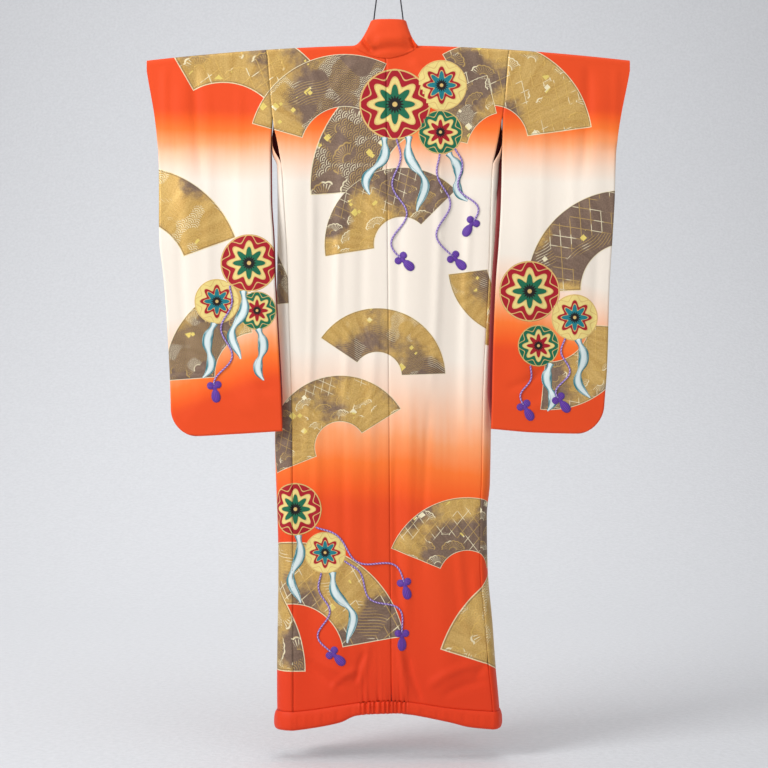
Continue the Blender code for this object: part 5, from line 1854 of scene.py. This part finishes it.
@dataclass(frozen=True)
class SilkFinish:
    """Dyed crepe silk with gilded fans and embroidered thread balls."""

    name: str = "dyed_silk"
    orange: tuple = srgb(234, 74, 20)
    # Painted shade: the darker orange towards the hem
    hem_shade_orange: tuple = srgb(226, 58, 12)
    warm: tuple = srgb(246, 92, 22)
    amber: tuple = srgb(252, 120, 44)
    peach: tuple = srgb(252, 158, 100)
    blush: tuple = srgb(252, 192, 154)
    pale: tuple = srgb(247, 216, 193)
    cream: tuple = srgb(243, 232, 218)
    taupe: tuple = srgb(140, 116, 98)
    brown: tuple = srgb(104, 82, 70)
    gold: tuple = srgb(184, 142, 72)
    bright_gold: tuple = srgb(220, 184, 112)
    leaf_gold: tuple = srgb(232, 208, 112)
    line: tuple = srgb(222, 184, 98)
    rim: tuple = srgb(246, 234, 196)
    crimson: tuple = srgb(178, 16, 36)
    straw: tuple = srgb(250, 226, 140)
    green: tuple = srgb(18, 112, 78)
    teal: tuple = srgb(22, 132, 142)
    black: tuple = srgb(22, 18, 18)
    fan_metres: float = 0.24

    def build(self) -> bpy.types.Material:
        """The material.

        Returns:
            The material.
        """
        tree = Tree(self.name)
        cut = tree.attribute("cut")
        colour = self.ground(tree, cut)
        weave = tree.noise(cut, 1500.0, 1.0) * 0.5 + tree.noise(cut, 420.0, 2.0) * 0.5
        relief = weave
        metal: Value = 0.0
        gilt = self.gilding(tree, cut)
        for layer in ("fan_under", "fan_over"):
            mask, paint, lines = self.fan(tree, layer, cut, gilt)
            colour = tree.blend(mask, colour, paint)
            relief = relief * (1.0 - mask * 0.7) + mask * lines * 1.6
            metal = (1.0 - mask) * metal + mask * (0.06 + gilt * 0.20)
        mask, paint, lines = self.ball(tree, cut)
        colour = tree.blend(mask, colour, paint)
        relief = relief * (1.0 - mask) + mask * (1.2 + lines)
        metal = metal * (1.0 - mask)
        return tree.dress(
            Base_Color=colour, Metallic=metal, Roughness=0.60 - metal * 0.45,
            Specular_IOR_Level=0.30, Sheen_Weight=0.08, Sheen_Roughness=0.40,
            Normal=tree.bump(relief, 0.00022))

    def ground(self, tree: Tree, cut: Signal) -> Signal:
        """Orange that fades to cream, with the unevenness of the dyeing, and painted shade that
        darkens the orange towards the hem.

        Args:
            tree: the material's nodes.
            cut: place on the flat cloth.

        Returns:
            The ground's colour.
        """
        # The second share is painted shade towards the hem
        cream, deep, _ = tree.split(tree.attribute("dye_and_shade"))
        u, v, _ = tree.split(cut)
        streaks = tree.noise(tree.vector(u * 70.0, v * 3.0), 1.0, 3.0) - 0.5
        uneven = (tree.noise(cut, 9.0, 3.0) - 0.5) * 0.12 + streaks * 0.10
        share = cream + uneven * (1.0 - abs(cream * 2.0 - 1.0))
        # Painted shade darkens the orange towards the hem, broken up by the uneven dyeing
        orange = tree.blend(deep + uneven * 2.0, self.orange, self.hem_shade_orange)
        fade = tree.ramp(share, (
            (0.00, self.orange), (0.15, self.warm), (0.31, self.amber), (0.47, self.peach),
            (0.62, self.blush), (0.80, self.pale), (1.00, self.cream)))
        return tree.blend(share.step(0.0, 0.15), orange, fade)

    def gilding(self, tree: Tree, cut: Signal) -> Signal:
        """Where the fans are gold and not taupe."""
        broad = tree.noise(cut, 4.2, 1.0) * 0.90 + tree.noise(cut, 60.0, 3.0) * 0.10
        return broad.step(0.450, 0.530)

    def fan(self, tree: Tree, layer: str, cut: Signal,
            gilt: Signal) -> tuple[Signal, Signal, Signal]:
        """One layer of painted fans.

        Args:
            tree: receives the nodes.
            layer: the attribute with places inside the fans.
            cut: places in the flat pattern.
            gilt: where the fans are gold.

        Returns:
            Where the fans are, their colour and their raised lines.
        """
        across, along, code = tree.split(tree.attribute(layer))
        steps = (code / FILLINGS).floor()
        kind = code.floor() - steps * FILLINGS
        half = code.fract() * SPREAD_CODE
        reach = (across * across + along * along).math("SQRT")
        angle = across.math("ARCTAN2", along)
        edge = (reach - INNER_START - steps * INNER_STEP).math("MINIMUM", 1.0 - reach)
        edge = edge.math("MINIMUM", (half - abs(angle)) * reach)
        mask = edge.step(0.0, 0.005)
        x, y = across * self.fan_metres, along * self.fan_metres
        patterns = [self.waves(x, y), self.pines(tree, x, y), self.lattice(x, y),
                    self.streams(x, y)]
        chosen = [kind.near(float(index), 0.4) for index in range(len(patterns))]
        first = tree.total([a * b for a, b in zip(chosen, patterns)])
        second = tree.total([a * b for a, b in zip(chosen, patterns[1:] + patterns[:1])])
        region = tree.noise(cut, 11.0, 0.0).step(0.47, 0.50)
        drawn = region * first + (1.0 - region) * second
        flecks = self.leaf(tree, cut)
        rim = 1.0 - edge.step(0.007, 0.011)
        ribs = 1.0 - abs((angle * 9.0).fract() - 0.5).step(0.0, 0.03)
        brush = tree.noise(tree.vector(angle * 12.0, reach * 2.0, kind), 1.0, 4.0)
        grain = tree.noise(cut, 260.0, 3.0)
        shade = brush.step(0.25, 0.75) * 0.55 + grain.step(0.3, 0.7) * 0.45
        ground = tree.blend(gilt, tree.blend(shade, self.brown, self.taupe),
                            tree.blend(shade, self.gold, self.bright_gold))
        ground = tree.blend(ribs * 0.14, ground, self.brown)
        bright = tree.noise(cut, 22.0, 0.0).step(0.54, 0.60)
        paint = tree.blend(drawn * (0.50 + bright * 0.34), ground,
                           tree.blend(bright, self.line, self.rim))
        paint = tree.blend(flecks, paint, tree.blend(bright, self.leaf_gold, self.rim))
        outline = 1.0 - abs(edge - 0.016).step(0.003, 0.006)
        paint = tree.blend(outline * 0.45, paint, self.brown)
        paint = tree.blend(rim * 0.85, paint, self.rim)
        return mask, paint, drawn.math("MAXIMUM", rim)

    def waves(self, x: Signal, y: Signal) -> Signal:
        """Rows of overlapping scales, each with rings.

        Args:
            x, y: place in the fan.

        Returns:
            The mask.
        """
        size = 0.026
        row = (y / (size * 0.25)).floor()
        a = (x / size + (row * 0.5).fract()).fract() - 0.5
        b = y / size - row * 0.25
        beside = 0.5 - abs(a)
        upper = (a * a + b * b).math("SQRT")
        lower = (beside * beside + (b + 0.25) * (b + 0.25)).math("SQRT")
        front = lower < 0.5
        reach = front * lower + (1.0 - front) * upper
        return abs((reach * 6.0).fract() - 0.5).step(0.28, 0.40)

    def pines(self, tree: Tree, x: Signal, y: Signal) -> Signal:
        """Rounded clusters of needles on offset rows.

        Args:
            tree: not used.
            x, y: place in the fan.

        Returns:
            The mask.
        """
        size = 0.086
        row = (y / (size * 0.5)).floor()
        a = (x / size + (row * 0.5).fract()).fract() - 0.5
        b = (y / (size * 0.5) - row) * 0.5
        reach = (a * a + b * b * 1.6).math("SQRT")
        angle = b.math("ARCTAN2", a)
        needles = (1.0 - abs((angle * 4.6).fract() - 0.5).step(0.10, 0.20))
        needles = needles * (reach > 0.14) * (reach < 0.34)
        scallop = abs((angle * 4.6 * 0.5 * math.pi).math("SINE")) * 0.03
        rim = 1.0 - abs(reach - 0.36 - scallop).step(0.014, 0.028)
        core = 1.0 - abs(reach - 0.12).step(0.010, 0.020)
        return needles.math("MAXIMUM", rim).math("MAXIMUM", core)

    def lattice(self, x: Signal, y: Signal) -> Signal:
        """Slanting bamboo lattice."""
        pitch = 0.032
        rising = abs(((x + y * 0.8) / pitch).fract() - 0.5).step(0.45, 0.48)
        falling = abs(((x - y * 0.8) / pitch).fract() - 0.5).step(0.45, 0.48)
        return rising.math("MAXIMUM", falling)

    def streams(self, x: Signal, y: Signal) -> Signal:
        """Flowing water, fine uneven lines."""
        bent = y + (x / 0.016).math("SINE") * 0.0035 + (x / 0.043 + 1.3).math("SINE") * 0.006
        lines = abs((bent / 0.0065).fract() - 0.5).step(0.36, 0.44)
        return lines * (x / 0.05 + y / 0.02).math("SINE").step(-0.2, 0.2)

    def leaf(self, tree: Tree, cut: Signal) -> Signal:
        """Small squares of gold leaf, standing on their corners, in loose groups.

        Args:
            tree: the material's nodes.
            cut: place on the flat cloth.

        Returns:
            The mask.
        """
        u, v, _ = tree.split(cut)
        cells = tree.node("ShaderNodeTexVoronoi", {"distance": "CHEBYCHEV"},
                          {"Vector": tree.vector(u + v, u - v), "Scale": 28.0})
        red, green, _ = tree.split(Signal(tree, cells.outputs["Color"]))
        square = Signal(tree, cells.outputs["Distance"]) < (0.14 + green * 0.18)
        group = tree.noise(cut, 12.0, 0.0) > 0.62
        return square * group * (red > 0.25)

    def ball(self, tree: Tree, cut: Signal) -> tuple[Signal, Signal, Signal]:
        """Embroidered thread balls: petals wound around a middle, in three colourings.

        Args:
            tree: receives the nodes.
            cut: not used.

        Returns:
            Where the balls are, their colour and their thread relief.
        """
        x, y, code = tree.split(tree.attribute("ball"))
        reach = (x * x + y * y).math("SQRT")
        angle = x.math("ARCTAN2", y)
        mask = 1.0 - reach.step(0.985, 1.0)
        petal = (angle * 8.0).math("COSINE")
        twelve = (angle * 16.0).math("COSINE")
        star = reach - petal * 0.13
        ground = self.by_code(tree, code, self.crimson, self.straw, self.green)
        petals = self.by_code(tree, code, self.straw, self.crimson, self.straw)
        inner = self.by_code(tree, code, self.green, self.teal, self.crimson)
        colour = tree.blend(star.step(0.62, 0.64), petals, ground)
        colour = tree.blend(star.step(0.44, 0.46), inner, colour)
        colour = tree.blend((reach - twelve * 0.04).step(0.20, 0.22), self.black, colour)
        outline = self.thin(star, 0.63).math("MAXIMUM", self.thin(star, 0.45))
        outline = outline.math("MAXIMUM", self.thin(star, 0.86))
        outline = outline.math("MAXIMUM", self.thin(reach, 0.965))
        outline = outline.math("MAXIMUM", 1.0 - reach.step(0.06, 0.08))
        threads = tree.noise(tree.vector(angle * 60.0, reach * 9.0), 1.0, 1.0)
        colour = tree.blend((1.0 - threads) * 0.28, colour, self.black)
        colour = tree.blend(outline, colour, self.bright_gold)
        return mask, colour, threads * 1.4 + outline

    @staticmethod
    def thin(value: Signal, place: float) -> Signal:
        """A thin line where a value passes a place."""
        return 1.0 - abs(value - place).step(0.014, 0.028)

    @staticmethod
    def by_code(tree: Tree, code: Signal, *colours: tuple) -> Signal:
        """The colour whose number is the code."""
        first = tree.blend(code > 0.5, colours[0], colours[1])
        return tree.blend(code > 1.5, first, colours[2])


@dataclass(frozen=True)
class LiningFinish:
    """Plain dark red lining silk."""

    name: str = "red_lining"
    red: tuple = srgb(150, 26, 20)
    shade: tuple = srgb(118, 16, 14)

    def build(self) -> bpy.types.Material:
        """The material.

        Returns:
            The material.
        """
        tree = Tree(self.name)
        cut = tree.attribute("cut")
        uneven = tree.noise(cut, 30.0, 3.0)
        weave = tree.noise(cut, 1200.0, 1.0)
        return tree.dress(Base_Color=tree.blend(uneven, self.shade, self.red),
                          Roughness=0.5 + uneven * 0.15, Sheen_Weight=0.2,
                          Normal=tree.bump(weave, 0.00015))


@dataclass(frozen=True)
class ThreadFinish:
    """Thread or braid whose strands run along a piece's own length."""

    name: str
    light: tuple
    dark: tuple
    edge: tuple
    strands: float = 2.0
    twist: float = 130.0
    roughness: float = 0.5
    relief: float = 0.0003

    def build(self) -> bpy.types.Material:
        """The material, which reads the length and the turn from "run".

        Returns:
            The material.
        """
        tree = Tree(self.name)
        run = tree.attribute("run")
        length, turn, _ = tree.split(run)
        lay = (length * self.twist + turn * self.strands).fract()
        ridge = 1.0 - abs(lay * 2.0 - 1.0)
        uneven = tree.noise(run, 60.0, 2.0)
        colour = tree.blend(ridge.step(0.15, 0.75), self.dark, self.light)
        patch = tree.noise(run, 28.0, 1.0)
        side = abs((turn * 2.0 * math.pi).math("COSINE")).step(0.30, 0.80)
        side = side * patch.step(0.30, 0.50)
        colour = tree.blend(side, colour, self.edge)
        return tree.dress(Base_Color=colour, Roughness=self.roughness + uneven * 0.15,
                          Sheen_Weight=0.2, Normal=tree.bump(ridge, self.relief))


@dataclass(frozen=True)
class TieFinish:
    """Dark braided cord of the two ties around the rod."""

    name: str = "tie_braid"
    light: tuple = srgb(34, 36, 52)
    dark: tuple = srgb(10, 11, 18)

    def build(self) -> bpy.types.Material:
        """The material, with strands that lean across each ring.

        Returns:
            The material.
        """
        tree = Tree(self.name)
        place = tree.signal("ShaderNodeTexCoord", output="Object")
        x, y, z = tree.split(place)
        lay = ((x * 320.0 + y * 210.0 + z * 210.0)).fract()
        ridge = 1.0 - abs(lay * 2.0 - 1.0)
        return tree.dress(Base_Color=tree.blend(ridge.step(0.15, 0.75), self.dark, self.light),
                          Roughness=0.55 + tree.noise(place, 300.0) * 0.2,
                          Normal=tree.bump(ridge, 0.0003))


@dataclass(frozen=True)
class WoodFinish:
    """Planed and lightly waxed wood of the hanging rod."""

    name: str = "rod_wood"
    light: tuple = srgb(176, 134, 88)
    dark: tuple = srgb(120, 82, 48)

    def build(self) -> bpy.types.Material:
        """The material, with grain along X.

        Returns:
            The material.
        """
        tree = Tree(self.name)
        place = tree.signal("ShaderNodeTexCoord", output="Object")
        x, y, z = tree.split(place)
        grain = tree.noise(tree.vector(x * 6.0, y * 160.0, z * 160.0), 1.0, 4.0)
        pores = tree.noise(tree.vector(x * 60.0, y * 900.0, z * 900.0), 1.0, 1.0)
        return tree.dress(Base_Color=tree.blend(grain.step(0.35, 0.7), self.dark, self.light),
                          Roughness=0.38 + grain * 0.2,
                          Normal=tree.bump(grain * 0.6 + pores * 0.4, 0.0002))


@dataclass(frozen=True)
class StudioFinish:
    """Matt pale floor and wall with a faint unevenness."""

    name: str = "studio_paint"
    light: tuple = srgb(226, 227, 230)
    dark: tuple = srgb(220, 221, 224)

    def build(self) -> bpy.types.Material:
        """The material.

        Returns:
            The material.
        """
        tree = Tree(self.name)
        place = tree.signal("ShaderNodeTexCoord", output="Object")
        uneven = tree.noise(place, 60.0, 6.0)
        return tree.dress(Base_Color=tree.blend(uneven.step(0.3, 0.7), self.dark, self.light),
                          Roughness=0.55, Specular_IOR_Level=0.4,
                          Normal=tree.bump(uneven, 0.002))


@dataclass
class Studio:
    """Plain pale floor and wall, soft light and the camera at the photograph's place."""

    metres_per_pixel: float = 0.0025
    middle_pixel: float = 384.0
    axis_pixel: float = 388.5
    top_pixel: float = -76.0
    cloth_y: float = -0.02
    distance: float = 4.5
    sensor: float = 36.0
    image_pixels: float = 768.0
    floor_z: float = -2.085
    wall_y: float = 8.6
    wall_height: float = 5.0
    bend: float = 6.0
    bend_steps: int = 32
    sky: tuple = (0.93, 0.94, 0.96, 1.0)
    sky_strength: float = 0.40
    reach: float = 9.0

    def camera(self) -> None:
        """A level camera that looks at the back of the garment."""
        data = bpy.data.cameras.new("camera")
        data.sensor_width = self.sensor
        data.lens = self.sensor * self.distance / (self.image_pixels * self.metres_per_pixel)
        camera = bpy.data.objects.new("camera", data)
        camera.location = (
            (self.middle_pixel - self.axis_pixel) * self.metres_per_pixel,
            self.cloth_y - self.distance,
            -(self.middle_pixel - self.top_pixel) * self.metres_per_pixel,
        )
        camera.rotation_euler = (math.pi / 2.0, 0.0, 0.0)
        bpy.context.scene.collection.objects.link(camera)
        bpy.context.scene.camera = camera

    def light(self, name: str, place: tuple[float, float, float], size: float,
              power: float, target: tuple[float, float, float] = (0.0, 0.0, -1.15)) -> None:
        """One square soft light that looks at a target, if not stated the garment.

        Args:
            name: the light's name.
            place: where it stands.
            size: its side.
            power: its watts.
            target: what it looks at.
        """
        data = bpy.data.lights.new(name, "AREA")
        data.size = size
        data.energy = power
        lamp = bpy.data.objects.new(name, data)
        lamp.location = place
        aim = Vector(target) - Vector(place)
        lamp.rotation_euler = aim.to_track_quat("-Z", "Y").to_euler()
        bpy.context.scene.collection.objects.link(lamp)

    def sweep(self, finish: bpy.types.Material) -> None:
        """Floor that bends up into the wall.

        Args:
            finish: the studio's material.
        """
        bend = self.bend
        mesh = bmesh.new()
        front = mesh.verts.new((-self.reach, -self.reach, self.floor_z))
        back = mesh.verts.new((-self.reach, self.wall_y - bend, self.floor_z))
        floor = mesh.edges.new((front, back))
        turned = bmesh.ops.spin(mesh, geom=[back], cent=(0.0, self.wall_y - bend,
                                                         self.floor_z + bend),
                                axis=(1.0, 0.0, 0.0), angle=math.pi / 2.0, steps=self.bend_steps)
        last = next(item for item in turned["geom_last"]
                    if isinstance(item, bmesh.types.BMVert))
        top = bmesh.ops.extrude_vert_indiv(mesh, verts=[last])["verts"]
        bmesh.ops.translate(mesh, verts=top, vec=(0.0, 0.0, self.wall_height))
        wide = bmesh.ops.extrude_edge_only(mesh, edges=mesh.edges[:])["geom"]
        moved = [item for item in wide if isinstance(item, bmesh.types.BMVert)]
        bmesh.ops.translate(mesh, verts=moved, vec=(2.0 * self.reach, 0.0, 0.0))
        data = bpy.data.meshes.new("studio_floor")
        mesh.to_mesh(data)
        mesh.free()
        data.shade_smooth()
        data.materials.append(finish)
        floor = bpy.data.objects.new("studio_floor", data)
        bpy.context.scene.collection.objects.link(floor)

    def build(self, finish: bpy.types.Material) -> None:
        """Everything around the garment.

        Args:
            finish: the studio's material.
        """
        self.camera()
        self.light("key_light", (-3.8, -2.9, 1.2), 2.2, 190.0)
        self.light("fill_light", (2.8, -4.6, 0.0), 3.2, 34.0)
        self.light("top_light", (0.0, -0.6, 2.2), 3.2, 40.0)
        self.light("wall_light", (-0.6, 2.6, 3.0), 3.4, 150.0, (-0.6, 7.4, -0.8))
        world = bpy.data.worlds.new("studio")
        world.use_nodes = True
        background = world.node_tree.nodes["Background"]
        background.inputs["Color"].default_value = self.sky
        background.inputs["Strength"].default_value = self.sky_strength
        bpy.context.scene.world = world
        bpy.context.scene.view_settings.view_transform = "Standard"
        self.sweep(finish)


def dress_node(name: str, material: bpy.types.Material) -> None:
    """Give a solid that stays in view its finish."""
    for slot in bpy.data.objects[name].material_slots:
        slot.material = material


def main() -> None:
    """Build every piece in order."""
    logging.basicConfig(level=logging.INFO, format="%(name)s: %(message)s")
    form = GarmentForm()
    Studio().build(StudioFinish().build())
    braid = ThreadFinish("cord_braid", srgb(34, 36, 52), srgb(10, 11, 18), srgb(20, 21, 32),
                         2.0, 210.0).build()
    cord = HangingCord().build(form, braid)
    silk, lining = SilkFinish().build(), LiningFinish().build()
    dyer = Dyer()
    pieces = {}
    for half in HALVES:
        body = BodyHalf(form, half)
        made = [body.build(), OverlapPanel(form, half).build(), Sleeve(form, half).build(),
                HemRoll(body).build()]
        pieces.update({piece.name: piece for piece in made})
    collar = Collar(form).build()
    pieces[collar.name] = collar
    for piece in pieces.values():
        dyer.paint(piece)
        piece.data.materials.append(silk)
        piece.data.materials.append(lining)
    stitched = [
        ThreadFinish("ribbon_stitch", srgb(240, 246, 243), srgb(205, 226, 226),
                     srgb(20, 120, 130), 0.0, 520.0).build(),
        ThreadFinish("twisted_cord", srgb(196, 172, 228), srgb(96, 70, 150),
                     srgb(120, 90, 170), 2.0, 130.0).build(),
        ThreadFinish("tassel_thread", srgb(112, 58, 178), srgb(66, 24, 120),
                     srgb(84, 38, 150), 16.0, 0.0).build(),
    ]
    bodies = [pieces["body_left_silk"], pieces["body_right_silk"]]
    stitching = [
        Embroidery("embroidery_body", bodies, "body_left", -0.290, 0.250),
        Embroidery("embroidery_sleeve_left", [pieces["sleeve_left_silk"]], "sleeve_left",
                   -0.70, -0.290),
        Embroidery("embroidery_sleeve_right", [pieces["sleeve_right_silk"]], "sleeve_right",
                   0.250, 0.70),
    ]
    made = [cord, *pieces.values(), *(piece.build(stitched) for piece in stitching)]
    dress_node("hanger_rod", WoodFinish().build())
    for name in ("cord_tie_left", "cord_tie_right"):
        dress_node(name, TieFinish().build())
    for piece in made:
        LOG.info("%s: %d faces", piece.name, len(piece.data.polygons))


if __name__ == "__main__":
    main()
